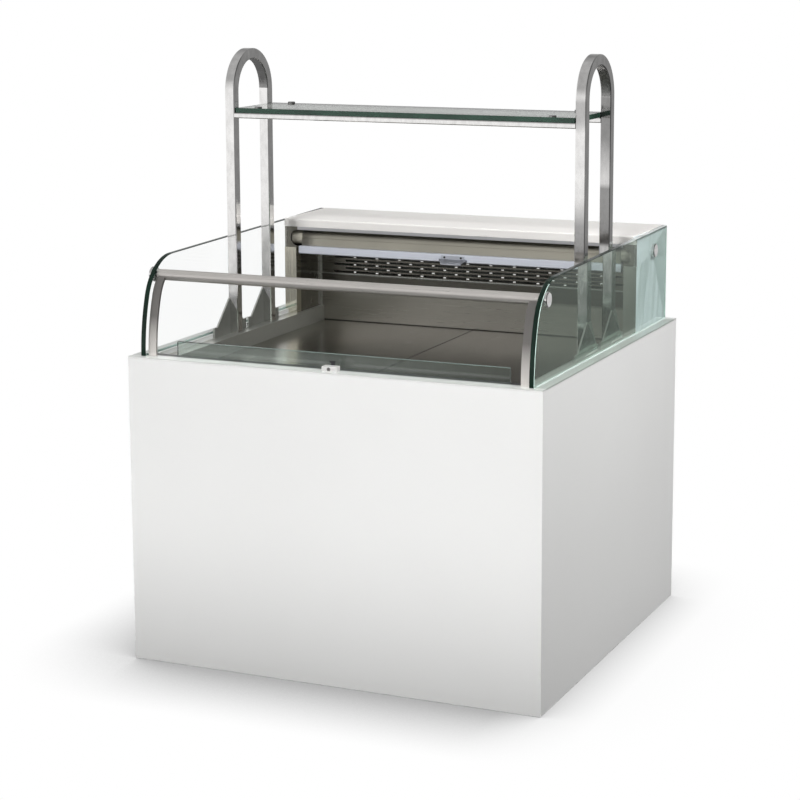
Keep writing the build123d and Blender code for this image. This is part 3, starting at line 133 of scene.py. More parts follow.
# Screws, as radius and height or as places on their piece
HANDLE_SCREW = (0.0026, 0.0012)
HANDLE_SCREW_X = 0.022
HANDLE_SCREW_DROP = 0.0045
BAR_FACE = 0.002
HOOD_SCREW_DROP = 0.032
ACROSS = (-1, -1 / 3, 1 / 3, 1)

# The nibs between the air outlet's slits, near white to paint glints
NIB_SIZE = (0.0072, 0.0024, 0.0044)
NIB_EASE = 0.0005
NIB_DEPTH = 0.005
SLIT_PITCH = 0.063
SLIT_ROW_PITCH = 0.0097
SLIT_FIRST_Z = 0.797
SLIT_ROWS = 8
SLITS_A_SIDE = 5
OUTLET_LEAN = math.radians(-5.5)

# The thermostat's dial
MARKS = 12
MARK_RADIUS = 0.0235
MARK_SIZE = (0.0012, 0.0006, 0.0050)
MARK_DEPTH = 0.0016
POINTER_SIZE = (0.0009, 0.0012, 0.0076)
POINTER_DEPTH = 0.0011
PRINT_EASE = 0.0001

# The sealing beads: how far inside the glass's ends they stop, and how round they are
BEAD_START, BEAD_END = 0.012, 0.001
BEAD_EASE = 0.9

# Each lamp's name, place, aim, size, the setting that holds its power, and its spread in degrees
LAMPS = (
    ("key_lamp", (-0.15, -2.7, 2.3), (-0.14, -0.48, 0.77), (2.8, 1.24), "key", 15.0),
    ("fill_lamp", (2.9, -0.6, 2.1), (0.5, 0.0, 0.78), (2.6, 0.9), "fill", 50.0),
    ("back_lamp", (-0.8, 3.0, 1.1), (0.0, 0.48, 0.55), (2.6, 0.9), "back", 50.0),
    ("left_lamp", (-2.9, 0.6, 1.1), (-0.5, 0.0, 0.55), (2.6, 0.9), "back", 50.0),
    ("top_lamp", (0.0, 0.2, 3.6), (0.0, 0.0, 0.7), (3.0, 3.0), "top", 120.0),
)

# The camera: its place, how far it is turned, tilted down and rolled in degrees, and its shift
CAMERA_PLACE = (2.0066, -4.6135, 1.6313)
CAMERA_TURN, CAMERA_DOWN, CAMERA_ROLL = 23.9, 9.89, -0.24
CAMERA_SHIFT = -0.1

# The floor's shade: how far it reaches, its darkest, and how it thins towards the right
SHADE_REACH = 0.30
SHADE_DARKEST = 0.36
SHADE_SIDE = (0.40, 0.62)
SHADE_WEIGHT = (1.15, 0.09)
# The floor as metal mirrors it: dim from here to there at the right, and near the cabinet
FLOOR_DIM = (0.4, 1.8)
FLOOR_NEAR = (5.6, 7.6)
# The room as metal mirrors it: the share of a direction where each part starts and is full
CEILING_FADE = (0.04, 0.45)
WING_FADE = (0.20, 0.65)
BEHIND_FADE = (0.30, 0.75)
BEHIND_LEVEL = 0.55


def colour_property(name, description, default):
    """A colour that a user may change, in linear light."""
    return FloatVectorProperty(
        name=name, description=description, default=default, size=3, min=0.0, max=1.0, subtype="COLOR"
    )


def length_property(name, description, default):
    """A length that a user may change, in metres."""
    return FloatProperty(
        name=name, description=description, default=default, precision=5, unit="LENGTH"
    )


def power_property(name, description, default):
    """A lamp's power that a user may change."""
    return FloatProperty(name=name, description=description, default=default, unit="POWER")


def level_property(name, description, default):
    """A brightness that a user may change."""
    return FloatProperty(name=name, description=description, default=default, min=0.0)


class CabinetFinishes(bpy.types.PropertyGroup):
    """Colours of the cabinet's surfaces."""

    cladding: colour_property("Cladding", "Powder coat of the base panels", (0.83, 0.83, 0.82))
    hood: colour_property("Hood", "Powder coat of the hood", (0.90, 0.875, 0.85))
    hem: colour_property("Hem", "Grey strip under the hood's front edge", (0.66, 0.66, 0.68))
    cheek: colour_property("Cheek", "Paint of the hood's left end", (0.69, 0.82, 0.80))
    # Painted light: a lighter, bluer copy of the cheek's paint, for the cheek behind the right glass
    cheek_behind_brightened: colour_property("Cheek behind", "Paint behind the right glass", (0.78, 0.84, 0.88))
    # Painted shade: the steel inside the hood's ends is darkened far below the frames' polish
    cheek_inside_shaded: colour_property("Cheek inside", "Steel inside the hood's ends", (0.32, 0.31, 0.28))
    deck: colour_property("Deck", "Ground stainless of the rim", (0.80, 0.81, 0.79))
    # Painted light: a darker grey-green that stands in for the green glass beside this part of the rim
    deck_right_painted_green: colour_property("Deck right", "The rim outside the right glass", (0.64, 0.68, 0.645))
    stainless: colour_property("Satin stainless", "Stainless of rail and strips", (0.57, 0.545, 0.52))
    post: colour_property("Post", "Stainless of the hood's posts", (0.74, 0.71, 0.60))
    tank: colour_property("Tank stainless", "Brushed stainless of the well", (0.50, 0.48, 0.44))
    liner: colour_property("Liner", "Brushed stainless of the well's sides", (0.47, 0.475, 0.44))
    # Painted shade: a dark steel laid over the outlet's slits and recess, though the wall is the well's
    # own steel
    outlet: colour_property("Outlet", "Dark stainless of the air outlet", (0.22, 0.21, 0.185))
    polished: colour_property("Polished stainless", "Mirror-polished frames", (0.83, 0.82, 0.81))
    gusset: colour_property("Gusset", "Ground stainless of the frames' gussets", (0.46, 0.465, 0.44))
    cloth: colour_property("Blind cloth", "Metallised cloth of the night blind", (0.41, 0.39, 0.33))
    anodised: colour_property("Anodised bar", "Aluminium of the blind's bar", (0.77, 0.80, 0.89))
    cover: colour_property("Bracket cover", "Moulded cover at the blind's ends", (0.21, 0.20, 0.17))
    bracket: colour_property("Bracket", "Moulded bracket behind the cover", (0.03, 0.03, 0.03))
    screw: colour_property("Screw", "Zinc of the panel screws", (0.55, 0.55, 0.56))
    dark_screw: colour_property("Dark screw", "Blacked screws of the handle", (0.012, 0.012, 0.015))
    # Painted glints: near white, for light caught on the metal between the slits
    nib_glint: colour_property("Nib", "Bright bridges between the slits", (0.95, 0.94, 0.92))


class GlassFinishes(bpy.types.PropertyGroup):
    """Colours of the glass."""

    body: colour_property("Body", "Green that thick glass takes on", (0.0, 0.30, 0.18))
    left: colour_property("Left pane", "Tint of the left side glass", (0.995, 1.0, 0.997))
    # Painted shade: a deeper green than the left pane of the same glass
    right: colour_property("Right pane", "Tint of the right side glass", (0.88, 0.985, 0.91))
    riser: colour_property("Riser", "Tint of the low glass in front", (0.74, 0.81, 0.77))
    # Painted reflection: a grey tint for the grey that the shelf mirrors
    shelf: colour_property("Shelf", "Tint of the shelf", (0.62, 0.64, 0.615))
    edge: colour_property("Edge", "Depth of green in the shelf's edge", (0.022, 0.068, 0.044))
    # Painted highlight: a pale tone where the right pane's edge runs far back
    edge_far_highlight: colour_property("Far edge", "Top edge of the right pane, far back", (0.66, 0.76, 0.72))
    arris: colour_property("Arris", "Ground corner of the glass", (0.52, 0.68, 0.62))
    bead: colour_property("Bead", "Sealing bead at the glass's foot", (0.58, 0.66, 0.63))


class WorksFinishes(bpy.types.PropertyGroup):
    """Colours of the works and the controls."""

    zinc: colour_property("Zinc", "Galvanised frame and trays", (0.55, 0.56, 0.57))
    foam: colour_property("Foam", "Blown foam round the well", (0.75, 0.62, 0.36))
    fins: colour_property("Fins", "Aluminium of the two coils", (0.72, 0.73, 0.74))
    motor: colour_property("Motor", "Coat of the fan motors", (0.03, 0.03, 0.035))
    fan: colour_property("Fan", "Plastic of the fans", (0.02, 0.02, 0.02))
    compressor: colour_property("Compressor", "Enamel of the compressor", (0.012, 0.012, 0.013))
    copper: colour_property("Copper", "Drawn copper of the lines", (0.72, 0.36, 0.22))
    drain: colour_property("Drain", "Plastic of the drain", (0.62, 0.62, 0.60))
    rubber: colour_property("Rubber", "Rubber of the feet", (0.02, 0.02, 0.02))
    tray: colour_property("Control tray", "Plastic of the control tray", (0.16, 0.16, 0.165))
    knob: colour_property("Knob", "Plastic of the knob and the inlet", (0.018, 0.018, 0.019))
    rocker: colour_property("Rocker", "Plastic of the switch", (0.05, 0.05, 0.05))
    dial: colour_property("Dial print", "Marks round the knob", (0.80, 0.80, 0.78))
    cam: colour_property("Lock cam", "Blacked steel of the lock's cam", (0.02, 0.02, 0.022))


class BlindSizes(bpy.types.PropertyGroup):
    """Sizes of the blind's cloth."""

    core: length_property("Core radius", "Radius of the tube that the cloth is wound on", 0.012)
    thickness: length_property("Cloth thickness", "Thickness of the cloth", 0.0005)
    pitch: length_property("Turn pitch", "How far each turn lies outside the last", 0.00085)
    segments: IntProperty(name="Segments", description="Steps in one turn", default=40, min=12)


class FastenerSizes(bpy.types.PropertyGroup):
    """Sizes of the small fasteners and trim."""

    screw_radius: length_property("Screw radius", "Radius of a panel screw's head", 0.0042)
    screw_height: length_property("Screw height", "Height of a hood screw's head", 0.0008)
    flush_height: length_property("Flush height", "Height of a countersunk rear screw's head", 0.00015)
    inset: length_property("Inset", "How far a screw sits from a panel's edge", 0.020)
    bead: length_property("Bead", "Width of the sealing bead at the glass's foot", 0.0022)


class StudioSettings(bpy.types.PropertyGroup):
    """Light and camera of the studio."""

    key: power_property("Key", "Power of the lamp over the front", 9.8)
    fill: power_property("Fill", "Power of the lamp at the right", 11.0)
    back: power_property("Back", "Power of the lamps behind and at the left", 8.0)
    top: power_property("Top", "Power of the lamp overhead", 7.0)
    room: level_property("Room", "Light from all round", 0.26)
    ceiling: level_property("Ceiling", "How bright metal sees the ceiling", 0.47)
    wing: level_property("Wing", "How bright metal sees the right", 0.25)
    lens: FloatProperty(name="Lens", description="Focal length", default=96.83, unit="CAMERA")


# Shader helpers


def finish(name):
    """A new node material and its Principled shader."""
    material = bpy.data.materials.new(name)
    material.use_nodes = True
    return material, material.node_tree.nodes["Principled BSDF"]


def add(material, kind, **values):
    """A shader node with its plain properties set."""
    node = material.node_tree.nodes.new(kind)
    for key, value in values.items():
        setattr(node, key, value)
    return node


def join(material, output, socket):
    """Links an output to a socket."""
    material.node_tree.links.new(output, socket)


def place(material, scale=(1, 1, 1)):
    """Object coordinates, scaled for one pattern."""
    coords = add(material, "ShaderNodeTexCoord")
    mapping = add(material, "ShaderNodeMapping")
    mapping.inputs["Scale"].default_value = scale
    join(material, coords.outputs["Object"], mapping.inputs["Vector"])
    return mapping.outputs["Vector"]


def noise(material, vector, scale, detail=2.0, roughness=0.5):
    """Cloudy noise over a pattern's coordinates."""
    node = add(material, "ShaderNodeTexNoise")
    node.inputs["Scale"].default_value = scale
    node.inputs["Detail"].default_value = detail
    node.inputs["Roughness"].default_value = roughness
    join(material, vector, node.inputs["Vector"])
    return node.outputs["Fac"]


def spread(material, value, low, high, from_low=0.0, from_high=1.0):
    """A value mapped on to a range."""
    node = add(material, "ShaderNodeMapRange")
    node.inputs["From Min"].default_value = from_low
    node.inputs["From Max"].default_value = from_high
    node.inputs["To Min"].default_value = low
    node.inputs["To Max"].default_value = high
    join(material, value, node.inputs["Value"])
    return node.outputs["Result"]


def along_axis(material, axis, start, end, low, high):
    """A value that runs from low to high between two places on an axis."""
    axes = add(material, "ShaderNodeSeparateXYZ")
    join(material, place(material), axes.inputs["Vector"])
    return spread(material, axes.outputs[axis], low, high, start, end)


def combine(material, first, second, operation="ADD"):
    """Two values, or a value and a number, put together."""
    node = add(material, "ShaderNodeMath", operation=operation)
    for socket, value in zip(node.inputs, (first, second)):
        if isinstance(value, (int, float)):
            socket.default_value = value
        else:
            join(material, value, socket)
    return node.outputs["Value"]


def shades(material, value, dark, light, low=0.3, high=0.7):
    """A colour between two shades, picked by a value."""
    node = add(material, "ShaderNodeValToRGB")
    node.color_ramp.elements[0].position = low
    node.color_ramp.elements[0].color = (*dark, 1)
    node.color_ramp.elements[1].position = high
    node.color_ramp.elements[1].color = (*light, 1)
    join(material, value, node.inputs["Fac"])
    return node.outputs["Color"]


def relief(material, shader, height, strength, distance=0.001):
    """Fine relief from a height."""
    node = add(material, "ShaderNodeBump")
    node.inputs["Strength"].default_value = strength
    node.inputs["Distance"].default_value = distance
    join(material, height, node.inputs["Height"])
    join(material, node.outputs["Normal"], shader.inputs["Normal"])


def tinted(colour, factor):
    """A colour made darker or lighter."""
    return tuple(min(1.0, part * factor) for part in colour)


def banded(material, grained, colour, bands):
    """A grained colour that turns to others along an axis. Each band gives the axis, two distances
    from the middle and the colour that holds from the second on. A sign before the axis keeps to that
    side."""
    shade = grained(colour)
    for axis, start, end, other in bands:
        axes = add(material, "ShaderNodeSeparateXYZ")
        join(material, place(material), axes.inputs["Vector"])
        sign = {"+": 1.0, "-": -1.0}.get(axis[0])
        operation = "MULTIPLY" if sign else "ABSOLUTE"
        out = combine(material, axes.outputs[axis[-1]], sign or 0.0, operation)
        change = add(material, "ShaderNodeMix", data_type="RGBA")
        join(material, spread(material, out, 0.0, 1.0, start, end), change.inputs[MIX_SHARE])
        join(material, shade, change.inputs[MIX_FIRST])
        join(material, grained(other), change.inputs[MIX_SECOND])
        shade = change.outputs[MIX_RESULT]
    return shade


# Finishes


def powder_coat(name, colour, roughness=0.34, gloss=0.5):
    """Sprayed and baked coat: a fine orange peel, with a little unevenness in shade and gloss."""
    material, shader = finish(name)
    broad = noise(material, place(material), 2.2, 3.0)
    peel = noise(material, place(material), 620.0, 1.0)
    join(material, shades(material, broad, tinted(colour, 0.985), tinted(colour, 1.01)),
         shader.inputs["Base Color"])
    gleam = spread(material, broad, roughness - 0.05, roughness + 0.05)
    join(material, gleam, shader.inputs["Roughness"])
    shader.inputs["Specular IOR Level"].default_value = gloss
    relief(material, shader, peel, 0.06, 0.0004)
    return material


def brushed(name, colour, along, roughness=0.34, contrast=0.10, metallic=1.0, beyond=()):
    """Ground stainless: long fine scratches along one axis, with faint wiping marks over them."""
    material, shader = finish(name)
    scale = [900.0, 900.0, 900.0]
    scale["XYZ".index(along)] = 9.0
    lines = noise(material, place(material, scale=scale), 1.0, 3.0, 0.6)
    marks = noise(material, place(material), 6.0, 4.0, 0.6)
    mixed = combine(
        material, combine(material, lines, 0.7, "MULTIPLY"), combine(material, marks, 0.3, "MULTIPLY")
    )

    def grained(shade):
        return shades(material, mixed, tinted(shade, 1 - contrast), tinted(shade, 1 + contrast))

    join(material, banded(material, grained, colour, beyond), shader.inputs["Base Color"])
    join(material, spread(material, mixed, roughness - contrast, roughness + contrast, 0.3, 0.7),
         shader.inputs["Roughness"])
    shader.inputs["Metallic"].default_value = metallic
    shader.inputs["Anisotropic"].default_value = 0.3
    relief(material, shader, lines, contrast * 0.5, 0.0002)
    return material


def polished(name, colour, roughness=0.07, dulled=None, beyond=()):
    """Mirror-polished stainless with faint buffing swirls and finger marks. Dulled gives the heights
    between which the polish fades, those between which it comes back, and how metallic it is there."""
    material, shader = finish(name)
    swirl = noise(material, place(material, scale=(70, 70, 30)), 1.0, 5.0, 0.7)
    wave = noise(material, place(material), 38.0, 3.0)

    def grained(shade):
        return shades(material, swirl, tinted(shade, 0.84), tinted(shade, 1.12))

    join(material, banded(material, grained, colour, beyond), shader.inputs["Base Color"])
    join(material, spread(material, swirl, roughness * 0.5, roughness * 1.9, 0.3, 0.7),
         shader.inputs["Roughness"])
    shader.inputs["Metallic"].default_value = 1.0
    if dulled:
        (start, end), (back, foot), faded = dulled
        above = along_axis(material, "Z", end, start, faded, 1.0)
        below = along_axis(material, "Z", foot, back, 1.0, faded)
        join(material, combine(material, above, below, "MAXIMUM"), shader.inputs["Metallic"])
    relief(material, shader, wave, 0.05, 0.0012)
    return material


def clear_glass(name, colour, absorbed, density, gloss, clearness=(1.0, 1.0), bend=1.5):
    """Toughened float glass: a breath of green, faint dust on its faces, and lamps shine through.
    Glass that is less than wholly clear shows a slight veil, graded from its left end to its right."""
    material, shader = finish(name)
    dust = noise(material, place(material), 14.0, 5.0, 0.7)
    shader.inputs["Base Color"].default_value = (*colour, 1)
    clear_share = along_axis(material, "X", *PANE_ENDS, *clearness)
    join(material, clear_share, shader.inputs["Transmission Weight"])
    shader.inputs["IOR"].default_value = bend
    shader.inputs["Specular IOR Level"].default_value = gloss
    join(material, spread(material, dust, 0.0, 0.012, 0.45, 0.8), shader.inputs["Roughness"])
    body = add(material, "ShaderNodeVolumeAbsorption")
    body.inputs["Color"].default_value = (*absorbed, 1)
    body.inputs["Density"].default_value = density
    path = add(material, "ShaderNodeLightPath")
    clear = add(material, "ShaderNodeBsdfTransparent")
    clear.inputs["Color"].default_value = (0.95, 0.975, 0.965, 1)
    blend = add(material, "ShaderNodeMixShader")
    output = material.node_tree.nodes["Material Output"]
    shadow, diffuse = path.outputs["Is Shadow Ray"], path.outputs["Is Diffuse Ray"]
    join(material, combine(material, shadow, diffuse, "MAXIMUM"), blend.inputs["Fac"])
    join(material, shader.outputs["BSDF"], blend.inputs[1])
    join(material, clear.outputs["BSDF"], blend.inputs[2])
    join(material, blend.outputs["Shader"], output.inputs["Surface"])
    join(material, body.outputs["Volume"], output.inputs["Volume"])
    return material


def glass_rim(name, colour, roughness, contrast, gloss=0.5, beyond=()):
    """The pane seen end on: a deep green with cloudy depth, or the pale ground corner beside it."""
    material, shader = finish(name)
    cloud = noise(material, place(material), 11.0, 4.0, 0.6)
    fine = noise(material, place(material), 420.0, 2.0)

    def grained(shade):
        return shades(material, cloud, tinted(shade, 1 - contrast), tinted(shade, 1 + contrast))

    join(material, banded(material, grained, colour, beyond), shader.inputs["Base Color"])
    gleam = spread(material, fine, roughness * 0.7, roughness * 1.3)
    join(material, gleam, shader.inputs["Roughness"])
    shader.inputs["IOR"].default_value = 1.5
    shader.inputs["Specular IOR Level"].default_value = gloss
    return material


def metallised_cloth(name, colour, drawn=False):
    """Woven polyester with a metal coat: a fine square weave that glints. Cloth that is drawn out keeps
    only the threads that run along it."""
    material, shader = finish(name)
    warp = add(material, "ShaderNodeTexWave", wave_type="BANDS", bands_direction="X")
    warp.inputs["Scale"].default_value = 230.0
    weft = add(material, "ShaderNodeTexWave", wave_type="BANDS", bands_direction="Y")
    weft.inputs["Scale"].default_value = 230.0
    for threads in (warp, weft):
        coords = add(material, "ShaderNodeUVMap")
        join(material, coords.outputs["UV"], threads.inputs["Vector"])
    weave = warp.outputs["Fac"]
    if not drawn:
        weave = combine(material, weave, weft.outputs["Fac"], "MULTIPLY")
    cloud = noise(material, place(material), 7.0, 3.0)
    both = combine(
        material, combine(material, weave, 0.5, "MULTIPLY"), combine(material, cloud, 0.5, "MULTIPLY")
    )
    join(material, shades(material, both, tinted(colour, 0.75), tinted(colour, 1.18), 0.1, 0.7),
         shader.inputs["Base Color"])
    join(material, spread(material, weave, 0.30, 0.44), shader.inputs["Roughness"])
    shader.inputs["Metallic"].default_value = 0.75
    shader.inputs["Sheen Weight"].default_value = 0.15
    relief(material, shader, weave, 0.25, 0.0002)
    return material


def moulded(name, colour, roughness=0.5):
    """Moulded plastic with a fine spark-eroded grain."""
    material, shader = finish(name)
    fine = noise(material, place(material), 700.0, 2.0)
    broad = noise(material, place(material), 12.0, 3.0)
    join(material, shades(material, broad, tinted(colour, 0.9), tinted(colour, 1.1)),
         shader.inputs["Base Color"])
    gleam = spread(material, fine, roughness - 0.08, roughness + 0.08)
    join(material, gleam, shader.inputs["Roughness"])
    relief(material, shader, fine, 0.12, 0.0003)
    return material


def galvanised(name, colour):
    """Hot-dip zinc with its flat crystals."""
    material, shader = finish(name)
    crystals = add(material, "ShaderNodeTexVoronoi", feature="F1")
    crystals.inputs["Scale"].default_value = 95.0
    join(material, place(material), crystals.inputs["Vector"])
    grey = add(material, "ShaderNodeRGBToBW")
    join(material, crystals.outputs["Color"], grey.inputs["Color"])
    join(material, shades(material, grey.outputs["Val"], tinted(colour, 0.85), tinted(colour, 1.12)),
         shader.inputs["Base Color"])
    join(material, spread(material, grey.outputs["Val"], 0.32, 0.52), shader.inputs["Roughness"])
    shader.inputs["Metallic"].default_value = 1.0
    return material


def foam(name, colour):
    """Blown foam: small closed cells."""
    material, shader = finish(name)
    cells = add(material, "ShaderNodeTexVoronoi", feature="SMOOTH_F1")
    cells.inputs["Scale"].default_value = 260.0
    join(material, place(material), cells.inputs["Vector"])
    depth = cells.outputs["Distance"]
    join(material, shades(material, depth, tinted(colour, 1.05), tinted(colour, 0.8), 0.1, 0.8),
         shader.inputs["Base Color"])
    shader.inputs["Roughness"].default_value = 0.85
    relief(material, shader, depth, 0.35, 0.001)
    return material


def dress(material, *names):
    """Puts one finish on CAD nodes."""
    for name in names:
        mesh = NODES[name].data
        mesh.materials.clear()
        mesh.materials.append(material)


def dress_where(material, test, *names):
    """Puts a second finish on the faces of CAD nodes that pass a test of their centre and normal."""
    for name in names:
        mesh = NODES[name].data
        mesh.materials.append(material)
        index = len(mesh.materials) - 1
        for face in mesh.polygons:
            if test(face.center, face.normal):
                face.material_index = index


# Mesh helpers


def piece_from(mesh_builder, name, material):
    """A finished mesh as a piece with its slot."""
    mesh = bpy.data.meshes.new(name)
    mesh_builder.to_mesh(mesh)
    mesh_builder.free()
    piece = bpy.data.objects.new(name, mesh)
    bpy.context.scene.collection.objects.link(piece)
    mesh.materials.append(material)
    return piece


def strip_of_cloth(rows, half_width, columns, start_length=0.0):
    """A grid that runs across the cabinet, one row for each (y, z), with its cut size as its UV map."""
    grid = bmesh.new()
    uv = grid.loops.layers.uv.new("Cut")
    xs = [half_width * (2 * i / columns - 1) for i in range(columns + 1)]
    points = [[grid.verts.new((x, y, z)) for x in xs] for y, z in rows]
    along = [start_length]
    for (y0, z0), (y1, z1) in zip(rows, rows[1:]):
        along.append(along[-1] + math.hypot(y1 - y0, z1 - z0))
    for j in range(len(rows) - 1):
        for i in range(columns):
            corners = ((i, j), (i + 1, j), (i + 1, j + 1), (i, j + 1))
            face = grid.faces.new([points[b][a] for a, b in corners])
            face.smooth = True
            for loop, (a, b) in zip(face.loops, corners):
                loop[uv].uv = (xs[a], along[b])
    return grid, along[-1] - start_length


def thicken(piece, thickness):
    """Gives a sheet its thickness, half to each side."""
    solid = piece.modifiers.new("Thickness", "SOLIDIFY")
    solid.thickness = thickness
    solid.offset = 0.0
    bpy.context.view_layer.objects.active = piece
    bpy.ops.object.modifier_apply(modifier=solid.name)


def deselect():
    """Leaves nothing selected, so that an operator acts on the new piece alone."""
    bpy.ops.object.select_all(action="DESELECT")


def select_faces(test):
    """In edit mode, selects the faces that pass a test of their centre and normal."""
    mesh = bmesh.from_edit_mesh(bpy.context.object.data)
    bpy.ops.mesh.select_mode(type="FACE")
    bpy.ops.mesh.select_all(action="DESELECT")
    for face in mesh.faces:
        face.select_set(test(face.calc_center_median(), face.normal))
    bmesh.update_edit_mesh(bpy.context.object.data)


def screw_head(radius, height):
    """A low pan head with a round socket, on the origin and facing +Z."""
    deselect()
    bpy.ops.mesh.primitive_cylinder_add(
        vertices=16, radius=radius, depth=height, location=(0, 0, height / 2)
    )
    bpy.ops.object.transform_apply(location=True, rotation=True, scale=True)
    bpy.ops.object.mode_set(mode="EDIT")
    select_faces(lambda centre, normal: normal.z > SQUARE_ON)
    bpy.ops.mesh.inset(thickness=radius * 0.28)
    bpy.ops.transform.translate(value=(0, 0, height * 0.35))
    bpy.ops.mesh.inset(thickness=radius * 0.3)
    bpy.ops.mesh.extrude_region_move(TRANSFORM_OT_translate={"value": (0, 0, -height * 0.9)})
    bpy.ops.object.mode_set(mode="OBJECT")
    bpy.ops.object.shade_smooth_by_angle(angle=SMOOTH_ANGLE)
    return bpy.context.object


def bar_of(size, bevel):
    """A small bar with eased edges, centred on the origin."""
    deselect()
    bpy.ops.mesh.primitive_cube_add(size=1.0)
    bpy.ops.object.mode_set(mode="EDIT")
    bpy.ops.transform.resize(value=size)
    bpy.ops.mesh.select_mode(type="EDGE")
    bpy.ops.mesh.select_all(action="SELECT")
    bpy.ops.mesh.bevel(offset=bevel, segments=2, affect="EDGES")
    bpy.ops.object.mode_set(mode="OBJECT")
    bpy.ops.object.shade_smooth_by_angle(angle=SMOOTH_ANGLE)
    return bpy.context.object


def copies(model, name, places, material, body):
    """One piece of copies of a model, each with its own mesh, set by a matrix."""
    deselect()
    made = []
    for matrix in places:
        copy = bpy.data.objects.new(name, model.data.copy())
        copy.data.transform(matrix)
        bpy.context.scene.collection.objects.link(copy)
        copy.select_set(True)
        made.append(copy)
    bpy.context.view_layer.objects.active = made[0]
    if len(made) > 1:
        bpy.ops.object.join()
    piece = bpy.context.view_layer.objects.active
    piece.name = name
    piece.data.materials.clear()
    piece.data.materials.append(material)
    bpy.data.objects.remove(model)
    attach(piece, body)
    return piece


# Turns what faces +Z to the front or to the rear
FACING = {
    "front": Matrix.Rotation(math.radians(90), 4, "X"),
    "rear": Matrix.Rotation(math.radians(-90), 4, "X"),
}


class CABINET_OT_cladding(bpy.types.Operator):
    """Coats the base panels and the hood"""

    bl_idname = "cabinet.cladding"
    bl_label = "Coat cladding and hood"

    def execute(self, context):
        colours = context.scene.cabinet_finishes
        dress(powder_coat("cladding_coat", colours.cladding),
              "front_panel", "left_side_panel", "right_side_panel", "rear_panel")
        coat = powder_coat("hood_coat", colours.hood, roughness=0.45, gloss=0.15)
        dress(coat, "hood_top", "hood_rear_panel")
        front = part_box("hood_top")[0].y
        near, far = front + HEM_NEAR, front + HEM_FAR
        hem = brushed("hem_aluminium", colours.hem, "X", roughness=0.42, contrast=0.05)
        dress_where(hem, lambda c, n: near < c.y < far and c.z < HEM_TOP, "hood_top")
        # The steel inside the hood's ends is its own stainless, darkened by painted shade
        inside = polished("cheek_stainless", colours.cheek_inside_shaded, roughness=0.16)
        dress(inside, "left_hood_cheek", "right_hood_cheek")
        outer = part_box("right_hood_cheek")[1].x - SKIN
        # The right cheek's paint is lighter and bluer than the left's: painted light, making up for the
        # light that the glass in front holds back
        for side, paint in (("left", colours.cheek), ("right", colours.cheek_behind_brightened)):
            coat = powder_coat(side + "_cheek_coat", paint, roughness=0.3)
            dress_where(coat, lambda c, n: abs(c.x) > outer or n.y > SQUARE_ON, side + "_hood_cheek")
        return {"FINISHED"}


